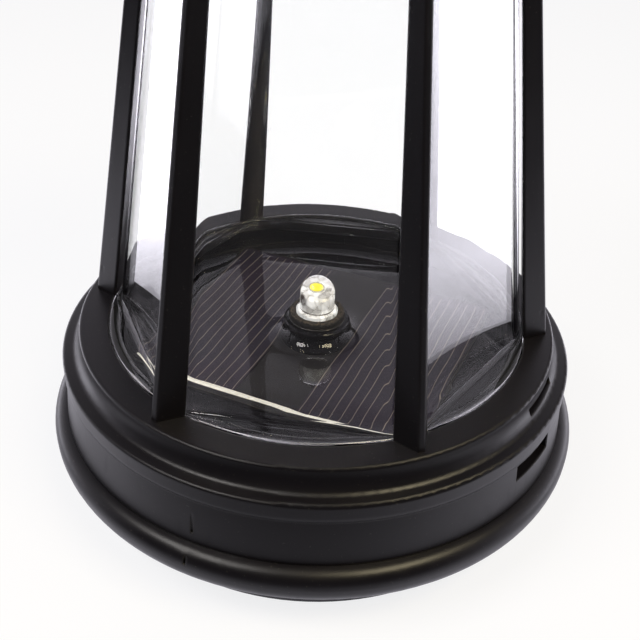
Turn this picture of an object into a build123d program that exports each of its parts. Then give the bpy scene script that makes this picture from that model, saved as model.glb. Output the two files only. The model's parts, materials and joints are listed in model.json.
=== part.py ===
from build123d import *
from math import asin, cos, radians, sin
import os

# Small solar lantern. The origin is the centre of the foot, on the ground plane, and +Z is up.
# Post 0 stands at +X and the posts follow every 60 degrees, so a flat pane faces -Y.
# All sizes are in millimetres.

os.makedirs("parts", exist_ok=True)

# ---- driving sizes -------------------------------------------------------------------------
POST_COUNT = 6
POST_STEP = 360 / POST_COUNT
WALL = 1.8

DECK_Z = 25.0
DECK_T = 2.0
DECK_EDGE_R = 34.0
DECK_HOLE_R = 29.9
LIP_R = 36.6
LIP_Z = DECK_Z - 3.7
CREASE_R = 36.9
CREASE_Z = DECK_Z - 13.1
BEAD_R = 38.9
BEAD_Z = DECK_Z - 15.5
FOOT_R = 33.0
FOOT_TOP_Z = 5.1
FLOOR_Z = 1.2
FLOOR_T = 2.0
FLOOR_TOP = FLOOR_Z + FLOOR_T

CAGE_H = 74.0
CAGE_TOP = DECK_Z + CAGE_H
POST_TIP_R = 32.95
POST_TIP_HALF = 0.46
POST_TIP_LEAN = 0.176
POST_BACK_R = 29.6
POST_BACK_HALF = 2.5
POST_BACK_LEAN = 0.156
POST_BACK_NARROW = 0.0238
RING_IN_R = 18.4
RING_OUT_R = 22.6
RING_BOTTOM = CAGE_TOP - 1.5
RING_TOP = CAGE_TOP + 2.5

LINER_GAP = 0.23
LINER_T = 1.2
LINER_CORNER = 5.7
LINER_TOP_CORNER = 3.0
FLANGE_R = 29.6
FLANGE_T = 1.5

TRAY_R = 29.5
TRAY_IN_R = 28.6
TRAY_FLOOR_Z = 17.6
TRAY_FLOOR_T = 1.4
RESIN_Z = DECK_Z - 4.1
BOARD_T = 0.8
CELL_T = 0.3
CELL_LENGTH = 36.0
CELL_WIDTH = 15.9
CELL_GAP = 9.4
PANEL_TURN = -16.0

SCREW_R = 1.0
CELL_AXIS_Y = 12.0
BATTERY_R = 5.1
BATTERY_L = 44.0
BATTERY_Z = FLOOR_TOP + 0.6 + BATTERY_R

PIVOT_X = 21.5
PIVOT_Z = 113.2
BAIL_WIRE_R = 1.0
BAIL_LEG = 18.0
BAIL_FOLD = 112.0
LUG_IN_X = 17.8
LUG_OUT_X = 19.9
RUNNING = 0.08


# ---- helpers -------------------------------------------------------------------------------
def save(shape, name, count=1):
    """Write one node, and stop if it isn't the number of solids that it should be."""
    found = shape.solids()
    if len(found) != count:
        raise ValueError(f"{name}: {len(found)} solids, not {count}")
    shape.label = name
    export_step(shape, f"parts/{name}.step")


def turned(profile):
    """Revolve a closed outline, given as (radius, height) points, about the Z axis."""
    return revolve(Plane.XZ * make_face(Polyline(*profile, close=True)), Axis.Z)


def tube(outer_r, inner_r, low, high):
    """Upright tube between two heights."""
    ring = Circle(outer_r) - Circle(inner_r)
    return Pos(0, 0, low) * extrude(ring, high - low)


def rod(radius, low, high, x=0.0, y=0.0):
    """Upright round bar between two heights."""
    return Pos(x, y, low) * extrude(Circle(radius), high - low)


def slab(x_size, y_size, low, high, x=0.0, y=0.0, corner=0.0):
    """Upright block between two heights, with optional rounded corners."""
    outline = RectangleRounded(x_size, y_size, corner) if corner else Rectangle(x_size, y_size)
    return Pos(x, y, low) * extrude(outline, high - low)


def around(shape, angles):
    """Copies of a shape turned about the Z axis, as one group."""
    return Compound(children=[Rot(0, 0, angle) * shape for angle in angles])


def post_angles():
    return [index * POST_STEP for index in range(POST_COUNT)]


def screw(head_r, head_h, shank_r, length):
    """Pan-head screw along +Z: the head's top is at z = -head_h, and the point is at z = length."""
    tip = 1.2 * shank_r
    body = turned([
        (0, -head_h), (head_r * 0.7, -head_h), (head_r, -head_h * 0.45), (head_r, 0),
        (shank_r, 0), (shank_r, length - tip), (shank_r * 0.25, length), (0, length),
    ])
    slot = head_r * 0.32
    for x_size, y_size in ((head_r * 1.3, slot), (slot, head_r * 1.3)):
        body -= slab(x_size, y_size, -head_h - 1, -head_h * 0.35)
    return body


def wire(points, bends, radius):
    """Insulated wire along straight runs joined by arcs."""
    path = FilletPolyline(*points, radius=bends)
    section = (Plane(path @ 0, z_dir=path % 0)) * Circle(radius)
    return sweep(section, path=path)


# ---- upper housing: deck, cove, lip and band -------------------------------------------------
DECK_ROUND = 0.35
LIP_ROUND = 0.4
LEDGE_IN_R = DECK_EDGE_R + 1.2
LEDGE_Z = LIP_Z + 0.4
LIP_LOW_Z = LIP_Z - 1.7
STEP_T = 0.25
ARC_CUT = 1 - sin(radians(45))


def rounded_edge(flat_end, radius):
    """Quarter round from an upward face, at (radius, height) flat_end, to an upright side."""
    r, z = flat_end
    return ThreePointArc(flat_end, (r + radius * (1 - ARC_CUT), z - radius * ARC_CUT), (r + radius, z - radius))


def outer_skin():
    """Outer line of the upper housing: deck, steep cove, narrow ledge, upright lip and the band."""
    deck = Line((DECK_HOLE_R, DECK_Z), (DECK_EDGE_R - DECK_ROUND, DECK_Z))
    edge = rounded_edge((DECK_EDGE_R - DECK_ROUND, DECK_Z), DECK_ROUND)
    wall_end = (LEDGE_IN_R - 0.45, LEDGE_Z + 0.3)
    cove = ThreePointArc((DECK_EDGE_R, DECK_Z - DECK_ROUND), (DECK_EDGE_R + 0.15, DECK_Z - 1.9), wall_end)
    root = ThreePointArc(wall_end, (LEDGE_IN_R - 0.28, LEDGE_Z + 0.12), (LEDGE_IN_R, LEDGE_Z))
    ledge = Line((LEDGE_IN_R, LEDGE_Z), (LIP_R - LIP_ROUND, LEDGE_Z - 0.1))
    lip = rounded_edge((LIP_R - LIP_ROUND, LEDGE_Z - 0.1), LIP_ROUND)
    side = Line((LIP_R, LEDGE_Z - 0.1 - LIP_ROUND), (LIP_R, LIP_LOW_Z))
    step = ThreePointArc(
        (LIP_R, LIP_LOW_Z), (LIP_R - 0.06, LIP_LOW_Z - 0.6), (LIP_R - STEP_T, LIP_LOW_Z - 0.95)
    )
    band = Line((LIP_R - STEP_T, LIP_LOW_Z - 0.95), (CREASE_R, CREASE_Z))
    inner = Polyline(
        (CREASE_R, CREASE_Z), (CREASE_R - WALL, CREASE_Z), (LIP_R - WALL - 0.1, LIP_Z - 1.5),
        (DECK_EDGE_R - 0.4, DECK_Z - DECK_T - 0.4), (DECK_EDGE_R - 0.8, DECK_Z - DECK_T),
        (DECK_HOLE_R, DECK_Z - DECK_T), (DECK_HOLE_R, DECK_Z),
    )
    line = (deck, edge, cove, root, ledge, lip, side, step, band, inner)
    return make_face(Wire([found for piece in line for found in piece.edges()]))


WINDOW_ANGLES = (-30.0, 150.0)
WINDOW_LONG = 8.7
WINDOW_LOW = DECK_Z - 9.1
WINDOW_HIGH = DECK_Z - 6.6
SLOT_TURN = 9.0
SLOT_LONG = 8.4
SLOT_LOW = DECK_Z - 2.7
SLOT_HIGH = DECK_Z - 1.7
SEAM_ANGLE = -106.6
SEAM_W = 0.35


def upper_housing():
    shell = revolve(Plane.XZ * outer_skin(), Axis.Z)
    window = slab(8, WINDOW_LONG, WINDOW_LOW, WINDOW_HIGH, x=LIP_R)
    slot = slab(3.2, SLOT_LONG, SLOT_LOW, SLOT_HIGH, x=DECK_EDGE_R + 0.5)
    for angle in WINDOW_ANGLES:
        shell -= Rot(0, 0, angle) * window
        shell -= Rot(0, 0, angle + SLOT_TURN) * slot
    shell -= Rot(0, 0, SEAM_ANGLE) * slab(0.8, SEAM_W, CREASE_Z + 1.6, LIP_LOW_Z - 0.6, x=CREASE_R)
    hole = rod(CAGE_SCREW_R, DECK_Z - DECK_T - 1, DECK_Z + 1, x=SCREW_CIRCLE_R)
    for angle in post_angles():
        shell -= Rot(0, 0, angle) * hole
    return shell


# ---- cage: six leaning posts and the top ring ------------------------------------------------
SCREW_CIRCLE_R = 31.2
SCREW_BITE = 4.0
CAGE_SCREW_R = 0.8


def post_section(height):
    """Cross-section of a post at a height above the deck: narrow outside, wide against the liner."""
    tip_r = POST_TIP_R - POST_TIP_LEAN * height
    back_r = POST_BACK_R - POST_BACK_LEAN * height
    back_half = POST_BACK_HALF - POST_BACK_NARROW * height
    outline = Polyline(
        (tip_r, -POST_TIP_HALF), (tip_r, POST_TIP_HALF), (back_r, back_half), (back_r, -back_half),
        close=True,
    )
    face = make_face(outline)
    return Pos(0, 0, DECK_Z + height) * fillet(face.vertices(), 0.25)


def post():
    body = loft([post_section(0), post_section(CAGE_H)])
    return body - rod(CAGE_SCREW_R, DECK_Z - 1, DECK_Z + SCREW_BITE, x=SCREW_CIRCLE_R)


def cage_frame():
    frame = tube(RING_OUT_R, RING_IN_R, RING_BOTTOM, RING_TOP)
    frame = fillet(frame.edges().group_by(Axis.Z)[0].sort_by(SortBy.LENGTH)[-1:], 0.8)
    for angle in post_angles():
        frame += Rot(0, 0, angle) * post()
    hole = rod(SCREW_R, RING_BOTTOM - 1, RING_TOP + 1, x=ROOF_SCREW_R)
    for angle in ROOF_SCREW_ANGLES:
        frame -= Rot(0, 0, angle) * hole
    return frame


# ---- clear liner -----------------------------------------------------------------------------
def hexagon(apothem, corner, height):
    """Hexagon with rounded corners, its corners towards the posts."""
    outline = RegularPolygon(apothem, POST_COUNT, major_radius=False)
    return Pos(0, 0, height) * fillet(outline.vertices(), corner)


def apothem_for(corner_reach, corner):
    """Apothem of a rounded hexagon whose corners reach a given radius."""
    return (corner_reach - corner) * cos(radians(30)) + corner


def clear_liner():
    foot_z = DECK_Z - FLANGE_T
    top_z = CAGE_TOP + 0.6
    foot_reach = POST_BACK_R - LINER_GAP
    top_reach = foot_reach - POST_BACK_LEAN * CAGE_H
    foot = apothem_for(foot_reach, LINER_CORNER)
    top = apothem_for(top_reach, LINER_TOP_CORNER)
    outer = loft([hexagon(foot, LINER_CORNER, foot_z), hexagon(top, LINER_TOP_CORNER, top_z)])
    inner = loft([
        hexagon(foot - LINER_T, LINER_CORNER - LINER_T, foot_z),
        hexagon(top - LINER_T, LINER_TOP_CORNER - LINER_T, top_z),
    ])
    flange = tube(FLANGE_R, 20.0, foot_z, DECK_Z - 0.1)
    return (outer + flange) - inner


def liner_seal():
    return tube(FLANGE_R - 0.2, TRAY_IN_R + 0.1, DECK_Z - FLANGE_T - 0.4, DECK_Z - FLANGE_T)


# ---- solar tray and what lies in it ----------------------------------------------------------
TRAY_RIM_Z = DECK_Z - FLANGE_T - 0.4
TRAY_FLANGE_R = 33.2
TRAY_FLANGE_TOP = DECK_Z - DECK_T
TRAY_FLANGE_T = 1.4
BOARD_Z = TRAY_FLOOR_Z + TRAY_FLOOR_T
CELL_Z = BOARD_Z + BOARD_T
HOLDER_STEM_R = 3.4
HOLDER_BASE_R = 4.9
LEAD_X = 1.27
PANEL_LEAD_SPOTS = ((-9.0, -13.5), (-5.5, -13.5))
BOARD_SCREW_SPOTS = ((-14.0, -20.0), (14.0, -20.0))
CONTROL_Z = 14.0
CONTROL_T = 1.0


def solar_tray():
    body = turned([
        (0, TRAY_FLOOR_Z), (TRAY_R, TRAY_FLOOR_Z), (TRAY_R, TRAY_FLANGE_TOP - TRAY_FLANGE_T),
        (TRAY_FLANGE_R, TRAY_FLANGE_TOP - TRAY_FLANGE_T), (TRAY_FLANGE_R, TRAY_FLANGE_TOP),
        (TRAY_R, TRAY_FLANGE_TOP), (TRAY_R, TRAY_RIM_Z), (TRAY_IN_R, TRAY_RIM_Z),
        (TRAY_IN_R, BOARD_Z), (0, BOARD_Z),
    ])
    body -= rod(HOLDER_STEM_R, TRAY_FLOOR_Z - 1, BOARD_Z + 1)
    for x, y in PANEL_LEAD_SPOTS:
        body -= rod(0.7, TRAY_FLOOR_Z - 1, BOARD_Z + 1, x, y)
    hole = rod(CAGE_SCREW_R, TRAY_FLANGE_TOP - 2, TRAY_FLANGE_TOP + 1, x=SCREW_CIRCLE_R)
    for angle in post_angles():
        body -= Rot(0, 0, angle) * hole
    for x, y in BOARD_SCREW_SPOTS:
        body += rod(2.3, CONTROL_Z + CONTROL_T, TRAY_FLOOR_Z, x, y)
        body -= rod(SCREW_R, CONTROL_Z, TRAY_FLOOR_Z + 0.2, x, y)
    return body


def solar_board():
    width = 2 * CELL_WIDTH + CELL_GAP
    board = Rot(0, 0, PANEL_TURN) * slab(width + 0.8, CELL_LENGTH + 1.2, BOARD_Z, CELL_Z, corner=1.0)
    return board - rod(HOLDER_BASE_R, BOARD_Z - 1, CELL_Z + 1)


def solar_cell(side):
    x = side * (CELL_GAP + CELL_WIDTH) / 2
    cell = Rot(0, 0, PANEL_TURN) * slab(CELL_WIDTH, CELL_LENGTH, CELL_Z, CELL_Z + CELL_T, x=x)
    return cell - rod(HOLDER_BASE_R, CELL_Z - 1, CELL_Z + 1)


def busbar():
    """Metal strip that joins the fingers of both cells along their near edge."""
    width = 2 * CELL_WIDTH + CELL_GAP
    low = CELL_Z + CELL_T
    return Rot(0, 0, PANEL_TURN) * slab(width, 0.9, low, low + 0.1, y=-CELL_LENGTH / 2 + 0.6)


def led_holder():
    """Rubber grommet round the LED: rim, wide flange, waist, and a foot that stands in the resin."""
    rim = DECK_Z + 0.1
    return turned([
        (3.12, rim), (3.8, rim), (4.1, rim - 0.3), (4.1, rim - 1.1), (4.7, rim - 1.3),
        (HOLDER_BASE_R, rim - 1.6), (HOLDER_BASE_R, rim - 2.0), (4.7, rim - 2.3), (4.2, rim - 2.6),
        (4.2, RESIN_Z + 0.3), (HOLDER_BASE_R, RESIN_Z - 0.2), (HOLDER_BASE_R, BOARD_Z),
        (HOLDER_STEM_R, BOARD_Z), (HOLDER_STEM_R, TRAY_FLOOR_Z - 0.8), (2.4, TRAY_FLOOR_Z - 0.8),
        (2.4, rim - 0.6), (3.12, rim - 0.6),
    ])


LED_FLANGE_Z = DECK_Z - 0.5
LED_FLANGE_T = 0.9
LED_FLANGE_R = 3.0
LED_DOME_Z = DECK_Z + 2.95
LED_R = 2.5
LED_CUP_Z = LED_DOME_Z + 0.2
LED_CHIP_R = 0.5
LED_CHIP_T = 0.3


def led_leads():
    """Anvil and post inside the lens, each running down to the control board."""
    foot_z = CONTROL_Z - 0.4
    post_lead = slab(0.5, 0.5, foot_z, LED_CUP_Z, x=LEAD_X)
    post_lead += slab(0.8, 0.5, LED_CUP_Z - 0.8, LED_CUP_Z, x=LEAD_X - 0.1)
    anvil = slab(0.5, 0.5, foot_z, LED_CUP_Z, x=-LEAD_X)
    anvil += slab(2.0, 1.2, LED_CUP_Z - 0.9, LED_CUP_Z, x=-LEAD_X + 0.9)
    return Compound(children=[post_lead, anvil])


def led_chip():
    return rod(LED_CHIP_R, LED_CUP_Z, LED_CUP_Z + LED_CHIP_T, x=-LEAD_X + 1.1)


def led_lens():
    outline = Wire([
        *Polyline(
            (0, LED_DOME_Z + LED_R), (0, LED_FLANGE_Z), (LED_FLANGE_R, LED_FLANGE_Z),
            (LED_FLANGE_R, LED_FLANGE_Z + LED_FLANGE_T), (LED_R, LED_FLANGE_Z + LED_FLANGE_T),
            (LED_R, LED_DOME_Z),
        ).edges(),
        *ThreePointArc(
            (LED_R, LED_DOME_Z), (LED_R * cos(radians(45)), LED_DOME_Z + LED_R * sin(radians(45))),
            (0, LED_DOME_Z + LED_R),
        ).edges(),
    ])
    body = revolve(Plane.XZ * make_face(outline), Axis.Z)
    for lead in led_leads().solids():
        body -= lead
    return body - led_chip()


def panel_resin():
    """Clear potting resin that fills the tray's dish above and around the solar board."""
    body = rod(TRAY_IN_R - 0.02, BOARD_Z, RESIN_Z)
    body -= solar_board()
    body -= solar_cell(1)
    body -= solar_cell(-1)
    body -= busbar()
    return body - rod(HOLDER_BASE_R + 0.01, BOARD_Z - 1, RESIN_Z + 1)


def panel_leads():
    """Two short wires from the back of the solar board down to the control board."""
    lead = [rod(0.6, CONTROL_Z + CONTROL_T, BOARD_Z, x, y) for x, y in PANEL_LEAD_SPOTS]
    return Compound(children=lead)


def cage_screws():
    low = TRAY_FLANGE_TOP - TRAY_FLANGE_T
    one = Pos(SCREW_CIRCLE_R, 0, low) * screw(1.6, 1.0, CAGE_SCREW_R, DECK_Z + SCREW_BITE - 0.4 - low)
    return around(one, post_angles())


# ---- control board ---------------------------------------------------------------------------
CONTROL_X = 34.0
CONTROL_Y = 27.0
CONTROL_MID_Y = -9.5


def control_board():
    board = slab(CONTROL_X, CONTROL_Y, CONTROL_Z, CONTROL_Z + CONTROL_T, y=CONTROL_MID_Y, corner=1.0)
    for x, y in BOARD_SCREW_SPOTS:
        board -= rod(1.2, CONTROL_Z - 1, CONTROL_Z + 2, x, y)
    for x in (-LEAD_X, LEAD_X):
        board -= rod(0.5, CONTROL_Z - 1, CONTROL_Z + 2, x)
    return board


def driver_chip():
    body = slab(4.9, 3.9, CONTROL_Z - 1.75, CONTROL_Z - 0.2, x=4.0, y=-9.0)
    for side in (-1, 1):
        for index in range(4):
            pin_x = 4.0 + (index - 1.5) * 1.27
            body += slab(0.42, 1.1, CONTROL_Z - 0.35, CONTROL_Z, x=pin_x, y=-9.0 + side * 2.4)
            body += slab(0.42, 0.3, CONTROL_Z - 1.0, CONTROL_Z, x=pin_x, y=-9.0 + side * 2.05)
    return body


def boost_inductor():
    top = CONTROL_Z
    return Pos(-4.5, -9.0, 0) * turned([
        (0, top), (2.9, top), (2.9, top - 0.7), (2.2, top - 0.9), (2.2, top - 2.7), (2.9, top - 2.9),
        (2.9, top - 3.6), (0, top - 3.6),
    ])


def filter_capacitor():
    top = CONTROL_Z
    return Pos(11.0, -8.0, 0) * turned([
        (0, top), (2.5, top), (2.5, top - 0.9), (2.3, top - 1.2), (2.5, top - 1.5), (2.5, top - 4.9),
        (2.2, top - 5.2), (0, top - 5.2),
    ])


def blocking_diode():
    body = Pos(-12.0, -9.0, CONTROL_Z - 1.3) * Rot(90, 0, 0) * Cylinder(1.1, 4.2)
    for side in (-1, 1):
        body += Pos(-12.0, -9.0 + side * 3.2, CONTROL_Z - 1.3) * Rot(90, 0, 0) * Cylinder(0.3, 2.4)
        body += rod(0.3, CONTROL_Z - 1.3, CONTROL_Z, -12.0, -9.0 + side * 4.2)
    return body


def board_screws():
    screws = []
    for x, y in BOARD_SCREW_SPOTS:
        screws.append(Pos(x, y, CONTROL_Z) * screw(1.9, 1.0, SCREW_R, 3.4))
    return Compound(children=screws)


# ---- base pan with the battery bay -----------------------------------------------------------
PAN_RING_OUT_R = 34.5
PAN_RING_IN_R = 33.0
PAN_RING_TOP = 19.4
BAY_WALL_T = 1.2
BAY_HALF_Y = BATTERY_R + 0.5
BAY_HALF_X = BATTERY_L / 2 + 3.6
BAY_TOP = 12.6
DOOR_X = 46.0
DOOR_Y = 11.4
DOOR_GAP = 0.4
DOOR_HINGE_X = -21.6
DOOR_HINGE_Z = FLOOR_Z + 0.9
DOOR_PIN_R = 0.55
NOTCH_X = 25.6
SWITCH_Y = -24.0
SWITCH_SLOT_X = 5.6
SWITCH_SLOT_Y = 2.6


def pan_skin():
    """Outline of the base pan: bead, foot ring and floor, with the ring that enters the band."""
    upper = Line((PAN_RING_OUT_R, CREASE_Z), (CREASE_R - 0.1, CREASE_Z - 0.02))
    shoulder = ThreePointArc(
        (CREASE_R - 0.1, CREASE_Z - 0.02), (BEAD_R - 0.45, CREASE_Z - 0.85), (BEAD_R, BEAD_Z)
    )
    under = Bezier(
        (BEAD_R, BEAD_Z), (BEAD_R, BEAD_Z - 2.9), (FOOT_R + 3.2, FOOT_TOP_Z + 0.15), (FOOT_R - 0.1, FOOT_TOP_Z)
    )
    rest = Polyline(
        (FOOT_R - 0.1, FOOT_TOP_Z), (FOOT_R, FOOT_TOP_Z - 0.4), (FOOT_R, 0.4), (FOOT_R - 0.4, 0),
        (FOOT_R - 2.0, 0), (FOOT_R - 2.4, 0.4), (FOOT_R - 2.4, FLOOR_Z), (0, FLOOR_Z), (0, FLOOR_TOP),
        (FOOT_R - 2.2, FLOOR_TOP), (FOOT_R - 1.0, FOOT_TOP_Z + 1.9), (PAN_RING_IN_R, 8.2),
        (PAN_RING_IN_R, PAN_RING_TOP), (PAN_RING_OUT_R, PAN_RING_TOP), (PAN_RING_OUT_R, CREASE_Z),
    )
    return make_face(Wire([*upper.edges(), *shoulder.edges(), *under.edges(), *rest.edges()]))


def base_pan():
    body = revolve(Plane.XZ * pan_skin(), Axis.Z)
    hook = slab(1.6, WINDOW_LONG - 1.2, WINDOW_LOW + 0.3, WINDOW_HIGH - 0.3, x=PAN_RING_OUT_R)
    relief = slab(4.0, 0.8, 12.4, PAN_RING_TOP + 1, x=PAN_RING_IN_R + 0.7)
    for angle in WINDOW_ANGLES:
        body += Rot(0, 0, angle) * hook
        for side in (-1, 1):
            body -= Rot(0, 0, angle + side * 8.4) * relief
    for side in (-1, 1):
        wall_y = CELL_AXIS_Y + side * (BAY_HALF_Y + BAY_WALL_T / 2)
        body += slab(2 * BAY_HALF_X, BAY_WALL_T, FLOOR_TOP, BAY_TOP, y=wall_y)
        wall_x = side * (BAY_HALF_X - BAY_WALL_T / 2)
        body += slab(BAY_WALL_T, 2 * BAY_HALF_Y, FLOOR_TOP, BAY_TOP, x=wall_x, y=CELL_AXIS_Y)
    body -= slab(DOOR_X, DOOR_Y, FLOOR_Z - 1, FLOOR_TOP + 0.2, y=CELL_AXIS_Y, corner=1.0)
    body -= slab(7.0, 7.4, FLOOR_Z - 1, FLOOR_Z + 1.1, x=NOTCH_X - 1.4, y=CELL_AXIS_Y, corner=1.0)
    pin_hole = Pos(DOOR_HINGE_X, CELL_AXIS_Y, DOOR_HINGE_Z) * Rot(90, 0, 0)
    body -= pin_hole * Cylinder(DOOR_PIN_R + RUNNING, DOOR_Y + 1.6)
    body -= slab(SWITCH_SLOT_X, SWITCH_SLOT_Y, FLOOR_Z - 1, FLOOR_TOP + 1, y=SWITCH_Y, corner=0.6)
    return body - Rot(0, 0, SEAM_ANGLE) * slab(1.0, SEAM_W, BEAD_Z + 0.4, CREASE_Z, x=BEAD_R)


def battery_door():
    """Cover under the battery: it turns on two pins at its -X end and snaps shut at the other."""
    high_x = DOOR_X / 2 - DOOR_GAP
    low_x = DOOR_HINGE_X - 0.6
    length = high_x - low_x
    width = DOOR_Y - 2 * DOOR_GAP
    plate = slab(length, width, FLOOR_Z, FLOOR_TOP - 0.2, x=low_x + length / 2, y=CELL_AXIS_Y)
    plate = fillet(plate.edges().filter_by(Axis.Z), 0.4)
    for index in range(5):
        groove_x = 9.0 + index * 2.0
        plate -= slab(0.8, 6.0, FLOOR_Z - 1, FLOOR_Z + 0.4, x=groove_x, y=CELL_AXIS_Y)
    plate += slab(5.0, 5.4, FLOOR_Z, FLOOR_Z + 0.8, x=NOTCH_X - 2.6, y=CELL_AXIS_Y, corner=0.8)
    pin = Pos(DOOR_HINGE_X, CELL_AXIS_Y, DOOR_HINGE_Z) * Rot(90, 0, 0)
    return plate + pin * Cylinder(DOOR_PIN_R, DOOR_Y + 1.2)


def battery_cell():
    """Rechargeable cell lying along X, its positive button towards +X."""
    half = BATTERY_L / 2
    body = turned([
        (0, -half), (BATTERY_R - 0.5, -half), (BATTERY_R - 0.5, -half + 0.3), (BATTERY_R, -half + 0.3),
        (BATTERY_R, half - 1.4), (BATTERY_R - 0.5, half - 1.0), (2.0, half - 1.0), (1.9, half), (0, half),
    ])
    return Pos(0, CELL_AXIS_Y, BATTERY_Z) * Rot(0, 90, 0) * body


PLATE_H = 7.6
PLUS_PLATE_X = BATTERY_L / 2 + 0.9
MINUS_PLATE_X = -(BATTERY_L / 2 + 2.2)


def battery_plus_contact():
    plate = Pos(PLUS_PLATE_X, CELL_AXIS_Y, BATTERY_Z) * Box(0.3, 8.0, PLATE_H)
    dimple = Pos(PLUS_PLATE_X - 0.5, CELL_AXIS_Y, BATTERY_Z) * Rot(0, 90, 0) * Cylinder(1.3, 0.8)
    return plate + dimple


def battery_minus_contact():
    """Plate with four joined rings, narrowing towards the cell, in place of a conical coil spring."""
    plate_x = MINUS_PLATE_X
    plate = Pos(plate_x, CELL_AXIS_Y, BATTERY_Z) * Box(0.3, 8.0, PLATE_H)
    coil = None
    for index, ring_r in enumerate((3.0, 2.7, 2.4, 2.1)):
        ring_x = plate_x + 0.4 + index * 0.48
        ring = Pos(ring_x, CELL_AXIS_Y, BATTERY_Z) * Rot(0, 90, 0) * Torus(ring_r, 0.32)
        coil = ring if coil is None else coil + ring
    return plate + coil


def wires():
    """Loose wires inside the base, each from its contact up to the control board."""
    battery_pair = []
    for side, contact_x in ((1, PLUS_PLATE_X), (-1, MINUS_PLATE_X)):
        battery_pair.append(wire([
            (contact_x, 9.0, BATTERY_Z + PLATE_H / 2), (contact_x, 9.0, 14.9),
            (contact_x, 2.0, 14.1), (side * 19.5, -4.6, 12.2), (side * 15.0, -4.6, 11.2),
            (side * 15.0, -4.6, CONTROL_Z),
        ], 1.2, 0.55))
    switch_pair = []
    for side in (-1, 1):
        switch_pair.append(wire([
            (side * 1.6, SWITCH_Y, 8.2), (side * 1.6, SWITCH_Y, 10.6),
            (side * 2.6, SWITCH_Y + 4.4, 11.4), (side * 2.6, SWITCH_Y + 4.4, CONTROL_Z),
        ], 1.0, 0.5))
    return battery_pair[0], battery_pair[1], Compound(children=switch_pair)


def switch_body():
    body = slab(8.6, 4.4, FLOOR_TOP + 0.1, 7.4, y=SWITCH_Y)
    body -= slab(5.4, 2.4, FLOOR_TOP, FLOOR_TOP + 1.9, y=SWITCH_Y)
    for x in (-3.2, -1.6, 1.6, 3.2):
        body += slab(0.4, 0.8, 7.4, 8.2, x=x, y=SWITCH_Y)
    return body


SWITCH_TRAVEL = 2.0


def switch_slider():
    """Slide knob: it rests at the -X end of the slot, and its ribs face down."""
    x = -SWITCH_TRAVEL / 2
    knob = slab(2.6, 1.9, FLOOR_Z + 0.1, FLOOR_TOP + 1.6, x=x, y=SWITCH_Y)
    for index in (-1, 0, 1):
        knob -= slab(0.3, 2.2, FLOOR_Z, FLOOR_Z + 0.35, x=x + index * 0.8, y=SWITCH_Y)
    return knob


# ---- roof, skylight and bail -----------------------------------------------------------------
ROOF_SCREW_R = 20.4
ROOF_SCREW_ANGLES = (30.0, 150.0, 270.0)
EAVE_R = 26.2
ROOF_Z = RING_TOP
DOME_OPEN_R = 11.2
DOME_SEAT_R = 12.7
DOME_SEAT_Z = ROOF_Z + 12.2


def roof_outline():
    """Half section of the roof: eave bead, cove, shoulder and the collar round the skylight."""
    eave = ThreePointArc((EAVE_R - 1.0, ROOF_Z - 1.0), (EAVE_R, ROOF_Z + 0.3), (EAVE_R - 1.0, ROOF_Z + 1.6))
    cove = ThreePointArc(
        (EAVE_R - 1.6, ROOF_Z + 1.6), (EAVE_R - 3.0, ROOF_Z + 2.6), (EAVE_R - 3.6, ROOF_Z + 4.4)
    )
    dome = ThreePointArc((EAVE_R - 4.4, ROOF_Z + 4.4), (19.2, ROOF_Z + 8.6), (15.6, ROOF_Z + 11.2))
    outer = [
        *Line((EAVE_R - 1.0, ROOF_Z + 1.6), (EAVE_R - 1.6, ROOF_Z + 1.6)).edges(),
        *Line((EAVE_R - 3.6, ROOF_Z + 4.4), (EAVE_R - 4.4, ROOF_Z + 4.4)).edges(),
    ]
    inner = Polyline(
        (15.6, ROOF_Z + 11.2), (14.4, ROOF_Z + 11.6), (14.0, ROOF_Z + 13.6), (DOME_SEAT_R, ROOF_Z + 13.6),
        (DOME_SEAT_R, DOME_SEAT_Z), (DOME_OPEN_R, DOME_SEAT_Z), (DOME_OPEN_R, ROOF_Z + 10.4),
        (14.6, ROOF_Z + 9.2), (17.6, ROOF_Z + 7.0), (19.2, ROOF_Z + 4.0), (19.2, ROOF_Z + 1.8),
        (16.2, ROOF_Z + 1.8), (16.2, ROOF_Z), (RING_OUT_R + 0.2, ROOF_Z), (RING_OUT_R + 0.2, ROOF_Z - 1.0),
        (EAVE_R - 1.0, ROOF_Z - 1.0),
    )
    return make_face(Wire([*eave.edges(), *cove.edges(), *dome.edges(), *outer, *inner.edges()]))


def lug():
    """Ear that carries the bail: an upright rounded plate across X."""
    width = LUG_OUT_X - LUG_IN_X
    ear = extrude(Plane.YZ * Circle(2.9), width)
    stem = Pos(width / 2, 0, -3.2) * Box(width, 5.8, 6.4)
    eye = extrude(Plane.YZ * Circle(BAIL_WIRE_R + RUNNING), width)
    return Pos(LUG_IN_X, 0, PIVOT_Z) * (ear + stem - eye)


def roof_shell():
    body = revolve(Plane.XZ * roof_outline(), Axis.Z)
    core = rod(15.0, ROOF_Z - 1, ROOF_Z + 9)
    for angle in (0, 180):
        body += Rot(0, 0, angle) * (lug() - core)
    boss = rod(1.9, ROOF_Z + 1.0, ROOF_Z + 3.8, x=ROOF_SCREW_R)
    hole = rod(SCREW_R, ROOF_Z - 1, ROOF_Z + 3.3, x=ROOF_SCREW_R)
    for angle in ROOF_SCREW_ANGLES:
        body += Rot(0, 0, angle) * boss
        body -= Rot(0, 0, angle) * hole
    return body


def roof_screws():
    one = Pos(ROOF_SCREW_R, 0, RING_BOTTOM) * screw(1.7, 0.9, SCREW_R, 7.2)
    return around(one, ROOF_SCREW_ANGLES)


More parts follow.
